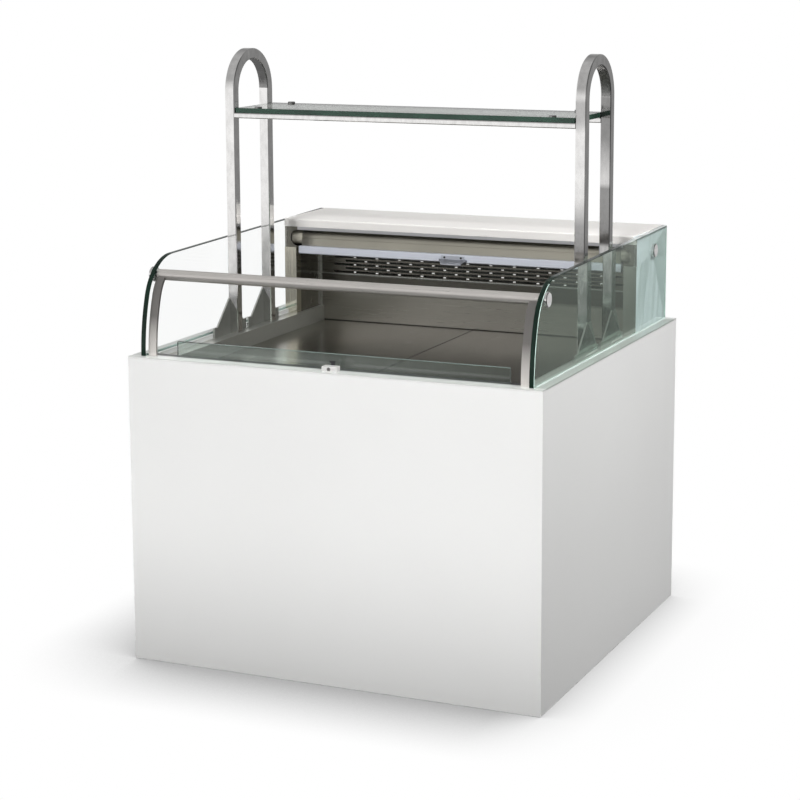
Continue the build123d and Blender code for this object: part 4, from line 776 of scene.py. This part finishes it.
class CABINET_OT_stainless(bpy.types.Operator):
    """Grinds the deck, rail, strips, posts, well and air outlet"""

    bl_idname = "cabinet.stainless"
    bl_label = "Grind stainless"

    def execute(self, context):
        colours = context.scene.cabinet_finishes
        # Painted shade: a near-black line along the floor plates' seams and where the outlet wall meets
        # the floor
        joint_shade = tinted(colours.tank, 0.18)
        self.rim(colours)
        self.posts(colours)
        self.well(colours, joint_shade)
        self.outlet(colours, joint_shade)
        return {"FINISHED"}

    def rim(self, colours):
        """The flat rim, the rail over it and the strips that lead down to it."""
        deck, satin = colours.deck, colours.stainless
        bands = [
            # Painted shadow: the strip of rim in front of the riser glass is made nearly black, for the
            # shade at the riser's foot
            ("-Y", *RIM_GAP_SHADOW, tinted(deck, 0.03)),
            ("-Y", *RIM_FRONT, deck),
            ("X", *RIM_SIDE, deck),
            # Painted light: the rim outside the right glass is a darker grey-green, for the green glass
            # beside it
            ("+X", *RIM_RIGHT, colours.deck_right_painted_green),
            # Painted highlight: the rim's lip at its front and rear is lighter than the rest of the
            # same steel
            ("Y", *RIM_LIP_HIGHLIGHT, tinted(deck, 1.15)),
        ]
        rim = brushed("deck_stainless", deck, "X", 0.36, 0.06, metallic=0.55, beyond=bands)
        dress(rim, "deck_frame")
        dress(brushed("rail_stainless", tinted(satin, 1.1), "X", metallic=0.75), "front_rail")
        # Painted light: the strips are darkened to a third of the satin steel, a painted shade, and
        # grow lighter towards their foot, a painted highlight
        foot = ("Z", *STRIP_FOOT_HIGHLIGHT, tinted(satin, 1.45))
        dim = tinted(satin, 0.36)
        strip = brushed("strip_stainless", dim, "Z", 0.38, 0.08, metallic=0.7, beyond=[foot])
        dress(strip, "left_blind_strip", "right_blind_strip")

    def posts(self, colours):
        """The hood's posts: a bright left one, and a right one given painted shade as darker, duller
        steel, with their painted outsides.
        """
        dress(brushed("post_stainless", colours.post, "Z", roughness=0.15), "left_hood_post")
        # Painted shade: the right post is a darker, duller steel than the left post
        dull = brushed("right_post_stainless", tinted(colours.liner, 1.25), "Z", roughness=0.42)
        dress(dull, "right_hood_post")
        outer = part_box("right_hood_post")[1].x - SKIN
        for side in ("left", "right"):
            coat = bpy.data.materials[side + "_cheek_coat"]
            dress_where(coat, lambda c, n: abs(c.x) > outer, side + "_hood_post")

    def well(self, colours, joint_shade):
        """The well's sides with their sunk ledges, its front and its floor."""
        tank = colours.tank
        ledge = ("X", *LEDGE, colours.deck)
        liner = brushed("liner_stainless", colours.liner, "Y", 0.34, 0.05, 0.75, beyond=[ledge])
        dress(liner, "tank_liner")
        step = brushed("step_stainless", colours.deck, "Y", 0.42, 0.05, metallic=0.25)
        dress_where(step, lambda c, n: abs(c.x) > LEDGE[1] and abs(n.x) > SQUARE_ON, "tank_liner")
        dress(brushed("tank_stainless", tinted(tank, 0.95), "X"), "return_air_strip", "riser_channel")
        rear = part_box("left_floor_plate")[1].y
        # Painted light: the floor plates grow lighter towards the left end and darker towards the right
        bands = [
            ("-X", *FLOOR_LEFT_LIGHTER, tank),
            ("+X", *FLOOR_RIGHT_SHADE, tinted(tank, 0.58)),
            # Painted shade along the plates' middle seam and their rear edge
            ("X", *FLOOR_SEAM, joint_shade),
            ("Y", *(rear - inset for inset in FLOOR_REAR), joint_shade),
        ]
        plates = brushed("floor_stainless", tinted(tank, 0.80), "Y", 0.24, 0.04, beyond=bands)
        dress(plates, "left_floor_plate", "right_floor_plate")

    def outlet(self, colours, joint_shade):
        """The air outlet's wall, all the well's own steel: painted shade over its slits and in the
        recess below them, a painted highlight along the fold between, and painted highlights on its
        folded ends.
        """
        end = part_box("air_outlet_wall")[1].x
        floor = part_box("left_floor_plate")[1].z
        bands = [
            ("Z", *OUTLET_RECESS_SHADE, tinted(colours.outlet, 0.75)),
            ("Z", *OUTLET_HEM_HIGHLIGHT, tinted(colours.deck, 0.8)),
            ("Z", *OUTLET_SLITS_SHADE, colours.outlet),
            ("X", *(end - inset for inset in OUTLET_FOLD_HIGHLIGHT), tinted(colours.deck, 1.1)),
            # Painted shade along the wall's foot, where it meets the floor
            ("Z", *(floor + rise for rise in OUTLET_FOOT), joint_shade),
        ]
        wall = brushed("outlet_stainless", tinted(colours.tank, 0.98), "X", 0.30, 0.05, beyond=bands)
        dress(wall, "air_outlet_wall")


class CABINET_OT_shelf_bridge(bpy.types.Operator):
    """Polishes the shelf bridge, the clamps and the lock"""

    bl_idname = "cabinet.shelf_bridge"
    bl_label = "Polish shelf bridge"

    def execute(self, context):
        colours = context.scene.cabinet_finishes
        shine = colours.polished
        frames = ("left_shelf_frame", "right_shelf_frame")
        bright = polished("polished_tube", shine)
        dress(bright, *frames, "shelf_rails", "lock_cylinder")
        dress(polished("stud_steel", tinted(shine, 0.35)), "shelf_studs")
        button = brushed("button_stainless", tinted(shine, 1.05), "Y", 0.3, 0.05, metallic=0.35)
        dress(button, "glass_clamps")
        dress_where(bright, lambda c, n: abs(n.x) < SQUARE_ON, "glass_clamps")
        dress(powder_coat("lock_coat", tinted(shine, 0.72), roughness=0.2), "lock_body")
        dress(moulded("blackened_steel", context.scene.cabinet_works.cam, roughness=0.4), "lock_cam")
        self.legs(shine)
        # Painted shade: the faces inside the arch's bend are a darker, rougher copy of the polish
        inside = polished("arch_inside", tinted(shine, 0.55), roughness=0.3)
        dress_where(inside, self.faces_into_arch, *frames)
        plate = brushed("gusset_stainless", colours.gusset, "Z", roughness=0.42, metallic=0.85)
        dress_where(plate, self.is_gusset, *frames)
        return {"FINISHED"}

    def legs(self, shine):
        """The legs' front faces: dulled at the left, and at the right given painted reflections, dark
        bands for the shelf, hood and wall that they would mirror.
        """
        dull = polished("dulled_tube", shine, dulled=(LEG_DULLED, LEG_FOOT, 0.45))
        dress_where(dull, lambda c, n: n.y < -LEANS, "left_shelf_frame")
        arch = ("Z", *LEG_ARCH, shine)
        below = ("Z", *LEG_UNDER_GLASS, shine)
        # Painted reflections on the front leg: darker bands where it would mirror the shelf and the
        # hood
        shelf = ("Z", *FRONT_LEG_SHELF_REFLECTION, tinted(shine, 0.60))
        hood = ("Z", *FRONT_LEG_HOOD_REFLECTION, tinted(shine, 0.48))
        front = polished("front_leg_tube", shine, beyond=[shelf, hood, arch, below])
        dress_where(front, lambda c, n: n.y < -LEANS and c.y < 0, "right_shelf_frame")
        # Painted reflections on the rear leg: dark where it would mirror the front leg, lighter in a
        # band at the rear wall, dark again at the hood
        wall = ("Z", *REAR_LEG_WALL_REFLECTION, tinted(shine, 0.80))
        hood = ("Z", *REAR_LEG_HOOD_REFLECTION, tinted(shine, 0.37))
        rear = polished("rear_leg_tube", tinted(shine, 0.34), beyond=[wall, hood, arch, below])
        dress_where(rear, lambda c, n: n.y < -LEANS and c.y > 0, "right_shelf_frame")

    def faces_into_arch(self, centre, normal):
        """Whether a face of the tube's bend looks towards the middle of the arch."""
        return centre.z > ARCH_MIDDLE.z and normal.yz.dot((centre - ARCH_MIDDLE).yz) < ARCH_INWARD

    def is_gusset(self, centre, normal):
        """Whether a face belongs to a gusset beside a leg's foot."""
        return centre.z < GUSSET_TOP and min(abs(centre.y - y) for y in LEG_Y) > TUBE_REACH


class CABINET_OT_glass(bpy.types.Operator):
    """Fits the clear glass, with its green edges and ground corners"""

    bl_idname = "cabinet.glass"
    bl_label = "Fit glass"

    def execute(self, context):
        colours = context.scene.cabinet_glass
        body, arris_colour = colours.body, colours.arris
        sides = ("left_side_glass", "right_side_glass")
        clean = clear_glass("left_glass", colours.left, body, density=0.5, gloss=0.1, bend=1.14)
        # Painted shade: the right pane, the same glass as the left, is given a deeper green tint and a
        # slight veil, to darken what lies behind it
        pane = clear_glass("right_glass", colours.right, body, 2.0, 0.14, clearness=(0.970, 0.970))
        misted = clear_glass("riser_glass", colours.riser, body, 2.0, 0.5, clearness=(0.92, 0.985))
        # Painted reflection: the shelf is tinted grey, for the grey that it mirrors
        shelf = clear_glass("shelf_glass", colours.shelf, body, density=5.0, gloss=0.5)
        deep = tinted(colours.edge, 0.22)
        deep_edge = glass_rim("glass_edge", deep, 0.12, 0.45, gloss=0.2)
        # Painted highlight: the right pane's edge turns pale towards its far end
        fade = ("+Y", *PANE_EDGE_FAR_HIGHLIGHT, colours.edge_far_highlight)
        fading_edge = glass_rim("right_glass_edge", deep, 0.12, 0.45, gloss=0.2, beyond=[fade])
        shelf_edge = glass_rim("shelf_edge", colours.edge, 0.16, 0.4)
        fade = ("-X", *RISER_EDGE_LEFT, tinted(arris_colour, 0.26))
        dark = tinted(arris_colour, 0.05)
        riser_edge = glass_rim("riser_edge", dark, 0.2, 0.3, gloss=0.2, beyond=[fade])
        rear_edge = glass_rim("rear_edge", tinted(arris_colour, 1.2), 0.2, 0.2)
        # The pale ground corner: a real frosted arris, made pale as a painted highlight along the
        # panes' feet and the right pane's outer front corner
        arris = glass_rim("glass_arris", arris_colour, 0.4, 0.15)
        # Each pane's clear faces are square to one axis, and the rest of it is its edge
        panes = {
            "left_side_glass": (0, clean, deep_edge),
            "right_side_glass": (0, pane, fading_edge),
            "shelf_glass": (2, shelf, shelf_edge),
            "riser_glass": (1, misted, riser_edge),
        }
        for name, (across, clear, rim) in panes.items():
            dress(clear, name)
            dress_where(rim, lambda c, n: abs(n[across]) < CLEAR_FACE, name)
        dress_where(misted, lambda c, n: n.x > LEANS, "riser_glass")
        dress_where(rear_edge, lambda c, n: n.y > SQUARE_ON, *sides)
        dress_where(arris, lambda c, n: n.z < -LEANS, *sides)
        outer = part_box("right_side_glass")[1].x - ARRIS_WIDTH
        dress_where(arris, lambda c, n: c.x > outer and self.is_front_arris(n), "right_side_glass")
        return {"FINISHED"}

    def is_front_arris(self, normal):
        """Whether a face is the bevelled corner along a pane's front edge."""
        return ARRIS_TURN <= abs(normal.x) < CLEAR_FACE and normal.y < -ARRIS_FRONT


class CABINET_OT_blind(bpy.types.Operator):
    """Winds the night blind's cloth on its roller and hangs its end on the bar"""

    bl_idname = "cabinet.blind"
    bl_label = "Wind night blind"

    def execute(self, context):
        colours = context.scene.cabinet_finishes
        sizes = context.scene.cabinet_blind
        self.fittings(colours)

        low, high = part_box("blind_roll")
        half_width = high.x
        centre_y = (low.y + high.y) / 2
        centre_z = (low.z + high.z) / 2
        outer = (high.z - low.z) / 2 - sizes.thickness
        turns = (outer - sizes.core - sizes.thickness) / sizes.pitch
        steps = int(turns * sizes.segments)
        rows = []
        for step in range(steps + 1):
            angle = math.pi + 2 * math.pi * (steps - step) / sizes.segments
            radius = outer - sizes.pitch * (steps - step) / sizes.segments
            rows.append((centre_y + radius * math.cos(angle), centre_z + radius * math.sin(angle)))
        grid, length = strip_of_cloth(rows, half_width, CLOTH_COLUMNS)
        cloth = metallised_cloth("blind_cloth", colours.cloth)
        roll = piece_from(grid, "blind_cloth_roll", cloth)
        thicken(roll, sizes.thickness)
        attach(roll, "blind_roller")
        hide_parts("blind_roll")

        hang_y = centre_y - outer
        hang_top = centre_z
        hang_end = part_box("blind_sheet")[0].z - FALL_TUCK
        bar_y = hang_y - FALL_LEAD
        rows = []
        for step in range(FALL_STEPS + 1):
            share = step / FALL_STEPS
            ease = share * share * (3 - 2 * share)
            rows.append((hang_y + (bar_y - hang_y) * ease, hang_top + (hang_end - hang_top) * share))
        grid, drop = strip_of_cloth(rows, half_width, CLOTH_COLUMNS, length)
        drawn = metallised_cloth("blind_cloth_drawn", colours.cloth, drawn=True)
        fall = piece_from(grid, "blind_cloth_fall", drawn)
        thicken(fall, sizes.thickness)
        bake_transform(fall)
        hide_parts("blind_sheet")
        return {"FINISHED"}

    def fittings(self, colours):
        """The bar with its handle, the roller's caps and the brackets with their covers."""
        bar = brushed("anodised_bar", colours.anodised, "X", 0.36, 0.05, metallic=0.6)
        dress(bar, "pull_bar")
        dress(brushed("anodised_handle", tinted(colours.anodised, 0.85), "X", 0.3, 0.05), "pull_handle")
        dress(moulded("roller_cap_plastic", tinted(colours.cloth, 1.45), roughness=0.4), "roller_tube")
        dress(moulded("bracket_plastic", colours.bracket), "roller_brackets")
        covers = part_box("roller_brackets")[0].y + COVER_DEPTH
        cover = moulded("cover_plastic", colours.cover, roughness=0.42)
        dress_where(cover, lambda c, n: c.y < covers, "roller_brackets")


class CABINET_OT_fasteners(bpy.types.Operator):
    """Fits the screws, the nibs between the outlet's slits with their painted glints, the dial and the
    glass beads
    """

    bl_idname = "cabinet.fasteners"
    bl_label = "Fit fasteners and trim"

    def execute(self, context):
        colours = context.scene.cabinet_finishes
        self.screws(context.scene.cabinet_fasteners, colours)
        self.nibs(colours.nib_glint)
        self.dial(context.scene.cabinet_works.dial)
        self.beads(context.scene.cabinet_fasteners.bead, context.scene.cabinet_glass.bead)
        return {"FINISHED"}

    def screws(self, sizes, colours):
        """The screws of the blind's handle, the rear panel and the hood's rear panel."""
        zinc = polished("screw_zinc", colours.screw, roughness=0.24)
        black = moulded("black_screw", colours.dark_screw, roughness=0.4)

        face_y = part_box("pull_bar")[0].y - BAR_FACE
        handle_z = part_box("pull_handle")[1].z - HANDLE_SCREW_DROP
        places = [
            Matrix.Translation((x, face_y, handle_z)) @ FACING["front"]
            for x in (-HANDLE_SCREW_X, HANDLE_SCREW_X)
        ]
        copies(screw_head(*HANDLE_SCREW), "handle_screws", places, black, "blind_bar")

        low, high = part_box("rear_panel")
        side, bottom, top = high.x - sizes.inset, low.z + sizes.inset, high.z - sizes.inset
        spots = [(x * side, z) for z in (bottom, top) for x in ACROSS]
        for share in (1 / 3, 2 / 3):
            spots += [(x * side, bottom + share * (top - bottom)) for x in (-1, 1)]
        face_y = high.y - sizes.flush_height / 2
        places = [Matrix.Translation((x, face_y, z)) @ FACING["rear"] for x, z in spots]
        head = screw_head(sizes.screw_radius, sizes.flush_height)
        copies(head, "rear_screws", places, zinc, "cabinet")

        low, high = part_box("hood_rear_panel")
        side, bottom, top = high.x - sizes.inset, low.z + sizes.inset, high.z - HOOD_SCREW_DROP
        spots = [(x * side, z) for z in (bottom, top) for x in ACROSS]
        places = [Matrix.Translation((x, high.y, z)) @ FACING["rear"] for x, z in spots]
        head = screw_head(sizes.screw_radius, sizes.screw_height)
        copies(head, "hood_screws", places, zinc, "cabinet")

    def nibs(self, colour):
        """Near-white polished nibs between the slits of the air outlet, as painted glints where light
        catches the metal between two slits.
        """
        face_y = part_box("air_outlet_wall")[0].y + NIB_DEPTH
        places = []
        for row in range(SLIT_ROWS):
            shift = SLIT_PITCH / 4 * (1 if row % 2 else -1)
            height = SLIT_FIRST_Z + row * SLIT_ROW_PITCH
            for column in range(-SLITS_A_SIDE, SLITS_A_SIDE + 1):
                spot = Matrix.Translation((shift + column * SLIT_PITCH, face_y, height))
                places.append(spot @ Matrix.Rotation(OUTLET_LEAN, 4, "X"))
        bright = polished("bright_nib", colour, roughness=0.06)
        copies(bar_of(NIB_SIZE, NIB_EASE), "outlet_nibs", places, bright, "cabinet")

    def dial(self, colour):
        """The printed ring of marks round the thermostat knob, and the pointer in the knob's slit."""
        white = moulded("dial_print", colour, roughness=0.5)
        low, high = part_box("thermostat_knob")
        axis_x, axis_z, radius = (low.x + high.x) / 2, (low.z + high.z) / 2, (high.x - low.x) / 2
        face_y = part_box("control_tray")[0].y + MARK_DEPTH
        centre = Matrix.Translation((axis_x, face_y, axis_z))
        outwards = Matrix.Translation((0, 0, MARK_RADIUS))
        places = [
            centre @ Matrix.Rotation(math.radians(360 / MARKS * mark), 4, "Y") @ outwards
            for mark in range(MARKS)
        ]
        mark = bar_of(MARK_SIZE, PRINT_EASE)
        copies(mark, "dial_marks", places, white, "cabinet")
        spot = Matrix.Translation((axis_x, high.y - POINTER_DEPTH, axis_z + radius * 2 / 3))
        pointer = bar_of(POINTER_SIZE, PRINT_EASE)
        copies(pointer, "knob_pointer", [spot], white, "thermostat_dial")

    def beads(self, width, colour):
        """A clear sealing bead along the outside of each glass's foot."""
        clear = moulded("sealing_bead", colour, roughness=0.3)
        for side, name in ((-1, "left_side_glass"), (1, "right_side_glass")):
            low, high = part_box(name)
            outer = high.x if side > 0 else low.x
            start, end = low.y + BEAD_START, high.y - BEAD_END
            middle = (outer + side * width / 2, (start + end) / 2, low.z + width / 2)
            deselect()
            bpy.ops.mesh.primitive_cube_add(size=1.0)
            bpy.ops.object.mode_set(mode="EDIT")
            bpy.ops.transform.resize(value=(width, end - start, width))
            bpy.ops.transform.translate(value=middle)
            bead = bpy.context.object
            mesh = bmesh.from_edit_mesh(bead.data)
            bpy.ops.mesh.select_mode(type="EDGE")
            bpy.ops.mesh.select_all(action="DESELECT")
            for edge in mesh.edges:
                spot = (edge.verts[0].co + edge.verts[1].co) / 2
                outside = abs(spot.x) > abs(outer) + width * BEAD_EASE
                edge.select_set(outside and spot.z > low.z + width * BEAD_EASE)
            bmesh.update_edit_mesh(bead.data)
            bpy.ops.mesh.bevel(offset=width * BEAD_EASE, segments=3, affect="EDGES")
            bpy.ops.object.mode_set(mode="OBJECT")
            bpy.ops.object.shade_smooth_by_angle(angle=SMOOTH_ANGLE)
            bead.name = name.replace("side_glass", "glass_bead")
            bead.data.materials.append(clear)
            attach(bead, "cabinet")


class CABINET_OT_works(bpy.types.Operator):
    """Finishes the frame, the cooling circuit and the controls"""

    bl_idname = "cabinet.works"
    bl_label = "Finish works and controls"

    def execute(self, context):
        colours = context.scene.cabinet_works
        dress(galvanised("zinc", colours.zinc), "base_frame", "bottom_tray", "floor_supports",
              "fan_plate", "condenser_shroud", "drip_tray")
        dress(foam("blown_foam", colours.foam), "tank_insulation")
        fins = brushed("fin_aluminium", colours.fins, "Z", roughness=0.4)
        dress(fins, "evaporator_coil", "condenser_coil")
        motor = powder_coat("motor_coat", colours.motor, roughness=0.4)
        dress(motor, "evaporator_fan_motors", "condenser_fan_motor")
        fan = moulded("fan_plastic", colours.fan)
        dress(fan, "left_evaporator_fan", "right_evaporator_fan", "condenser_fan")
        dress(powder_coat("compressor_enamel", colours.compressor, roughness=0.22), "compressor")
        dress(polished("drawn_copper", colours.copper, roughness=0.18), "refrigerant_lines")
        dress(moulded("drain_plastic", colours.drain), "drain_fitting")
        dress(moulded("foot_rubber", colours.rubber, roughness=0.6), "levelling_feet")
        dress(moulded("control_plastic", colours.tray), "control_tray")
        dress(moulded("knob_plastic", colours.knob, roughness=0.38), "thermostat_knob", "mains_inlet")
        dress(moulded("rocker_plastic", colours.rocker, roughness=0.3), "rocker_switch")
        return {"FINISHED"}


class CABINET_OT_studio(bpy.types.Operator):
    """Sets the white floor, the soft lamps and the camera"""

    bl_idname = "cabinet.studio"
    bl_label = "Set studio"

    def execute(self, context):
        scene = context.scene
        studio = scene.cabinet_studio
        scene.view_settings.view_transform = "Standard"

        deselect()
        bpy.ops.mesh.primitive_plane_add(size=60.0, location=(0, 0, 0))
        floor = context.object
        floor.name = "studio_floor"
        floor.data.materials.append(self.white_floor(studio.wing))
        scene.world = self.white_room(studio)

        for name, where, aim, size, setting, spread_angle in LAMPS:
            self.lamp(name, where, aim, size, getattr(studio, setting), spread_angle)

        view = bpy.data.cameras.new("photo_camera")
        view.sensor_fit = "HORIZONTAL"
        view.sensor_width = 36.0
        view.lens = studio.lens
        view.shift_y = CAMERA_SHIFT
        view.clip_end = 80.0
        camera = bpy.data.objects.new("photo_camera", view)
        scene.collection.objects.link(camera)
        turn = Matrix.Rotation(math.radians(CAMERA_TURN), 4, "Z")
        tilt = Matrix.Rotation(math.radians(90.0 - CAMERA_DOWN), 4, "X")
        roll = Matrix.Rotation(math.radians(CAMERA_ROLL), 4, "Z")
        camera.matrix_world = Matrix.Translation(CAMERA_PLACE) @ turn @ tilt @ roll
        scene.camera = camera
        return {"FINISHED"}

    def white_floor(self, wing):
        """A floor that looks white but for the soft shade of what stands on it, and lights like grey
        card."""
        material, grey = finish("white_floor")
        grey.inputs["Base Color"].default_value = (0.2, 0.2, 0.2, 1)
        grey.inputs["Roughness"].default_value = 0.9
        grey.inputs["Specular IOR Level"].default_value = 0.0
        path = add(material, "ShaderNodeLightPath")
        eye, mirror = path.outputs["Is Camera Ray"], path.outputs["Is Glossy Ray"]
        seen = combine(material, eye, mirror, "MAXIMUM")
        seen = combine(material, seen, path.outputs["Is Transmission Ray"], "MAXIMUM")
        shade = add(material, "ShaderNodeAmbientOcclusion", samples=12)
        shade.inputs["Distance"].default_value = SHADE_REACH
        across = add(material, "ShaderNodeSeparateXYZ")
        join(material, place(material), across.inputs["Vector"])
        away = add(material, "ShaderNodeVectorMath", operation="LENGTH")
        join(material, place(material), away.inputs[0])
        dim = spread(material, across.outputs["X"], 1.0, wing, *FLOOR_DIM)
        near = spread(material, away.outputs["Value"], wing, 1.0, *FLOOR_NEAR)
        direct = spread(material, path.outputs["Glossy Depth"], 1.0, 0.0)
        level = combine(material, combine(material, dim, near, "MULTIPLY"), direct, "MAXIMUM")
        weight = spread(material, across.outputs["X"], *SHADE_WEIGHT, *SHADE_SIDE)
        lost = combine(material, 1.0, shade.outputs["AO"], "SUBTRACT")
        kept = combine(material, 1.0, combine(material, lost, weight, "MULTIPLY"), "SUBTRACT")
        kept = combine(material, kept, SHADE_DARKEST, "MAXIMUM")
        level = combine(material, level, kept, "MULTIPLY")
        white = add(material, "ShaderNodeEmission")
        join(material, level, white.inputs["Strength"])
        blend = add(material, "ShaderNodeMixShader")
        join(material, seen, blend.inputs["Fac"])
        join(material, grey.outputs["BSDF"], blend.inputs[1])
        join(material, white.outputs["Emission"], blend.inputs[2])
        output = material.node_tree.nodes["Material Output"]
        join(material, blend.outputs["Shader"], output.inputs["Surface"])
        return material

    def white_room(self, studio):
        """White to the eye and through glass. Metal mirrors a grey ceiling, right side and rear."""
        room = bpy.data.worlds.new("studio_room")
        room.use_nodes = True
        background = room.node_tree.nodes["Background"]
        background.inputs["Color"].default_value = (1, 1, 1, 1)
        path = add(room, "ShaderNodeLightPath")
        coords = add(room, "ShaderNodeTexCoord")
        way = add(room, "ShaderNodeSeparateXYZ")
        join(room, coords.outputs["Generated"], way.inputs["Vector"])
        overhead = spread(room, way.outputs["Z"], 1.0, studio.ceiling, *CEILING_FADE)
        aside = spread(room, way.outputs["X"], 1.0, studio.wing, *WING_FADE)
        behind = spread(room, way.outputs["Y"], 1.0, BEHIND_LEVEL, *BEHIND_FADE)
        mirrored = combine(room, combine(room, overhead, aside, "MULTIPLY"), behind, "MULTIPLY")
        direct, through = path.outputs["Is Camera Ray"], path.outputs["Is Transmission Ray"]
        eye = combine(room, direct, through, "MAXIMUM")
        glossy = combine(room, path.outputs["Is Glossy Ray"], mirrored, "MULTIPLY")
        plain = combine(room, 1.0, path.outputs["Is Glossy Ray"], "SUBTRACT")
        lit = combine(room, plain, studio.room, "MULTIPLY")
        level = combine(room, combine(room, lit, glossy), eye, "MAXIMUM")
        join(room, level, background.inputs["Strength"])
        return room

    def lamp(self, name, where, aim, size, power, spread_angle):
        """A soft lamp that lights the cabinet but isn't seen or mirrored itself."""
        light = bpy.data.lights.new(name, "AREA")
        light.shape = "RECTANGLE"
        light.size, light.size_y = size
        light.energy = power
        light.spread = math.radians(spread_angle)
        holder = bpy.data.objects.new(name, light)
        bpy.context.scene.collection.objects.link(holder)
        holder.location = where
        holder.rotation_euler = (Vector(aim) - Vector(where)).to_track_quat("-Z", "Y").to_euler()
        holder.visible_camera = False
        holder.visible_glossy = False
        holder.visible_transmission = False


class CABINET_PT_panel(bpy.types.Panel):
    """Lists the steps that dress the cabinet"""

    bl_idname = "CABINET_PT_panel"
    bl_label = "Display cabinet"
    bl_space_type = "VIEW_3D"
    bl_region_type = "UI"
    bl_category = "Cabinet"

    def draw(self, context):
        for step in STEPS:
            self.layout.operator(step.bl_idname)
        for name in GROUPS:
            box = self.layout.box()
            group = getattr(context.scene, name)
            for key in group.bl_rna.properties.keys():
                if key not in {"rna_type", "name"}:
                    box.prop(group, key)


STEPS = (
    CABINET_OT_cladding,
    CABINET_OT_stainless,
    CABINET_OT_shelf_bridge,
    CABINET_OT_glass,
    CABINET_OT_blind,
    CABINET_OT_fasteners,
    CABINET_OT_works,
    CABINET_OT_studio,
)
GROUPS = {
    "cabinet_finishes": CabinetFinishes,
    "cabinet_glass": GlassFinishes,
    "cabinet_works": WorksFinishes,
    "cabinet_blind": BlindSizes,
    "cabinet_fasteners": FastenerSizes,
    "cabinet_studio": StudioSettings,
}
CLASSES = (*GROUPS.values(), *STEPS, CABINET_PT_panel)


def register():
    for cls in CLASSES:
        bpy.utils.register_class(cls)
    for name, group in GROUPS.items():
        setattr(bpy.types.Scene, name, PointerProperty(type=group))


def unregister():
    for name in GROUPS:
        delattr(bpy.types.Scene, name)
    for cls in reversed(CLASSES):
        bpy.utils.unregister_class(cls)


def main():
    register()
    bpy.ops.cabinet.cladding()
    bpy.ops.cabinet.stainless()
    bpy.ops.cabinet.shelf_bridge()
    bpy.ops.cabinet.glass()
    bpy.ops.cabinet.blind()
    bpy.ops.cabinet.fasteners()
    bpy.ops.cabinet.works()
    bpy.ops.cabinet.studio()


if __name__ == "__main__":
    main()
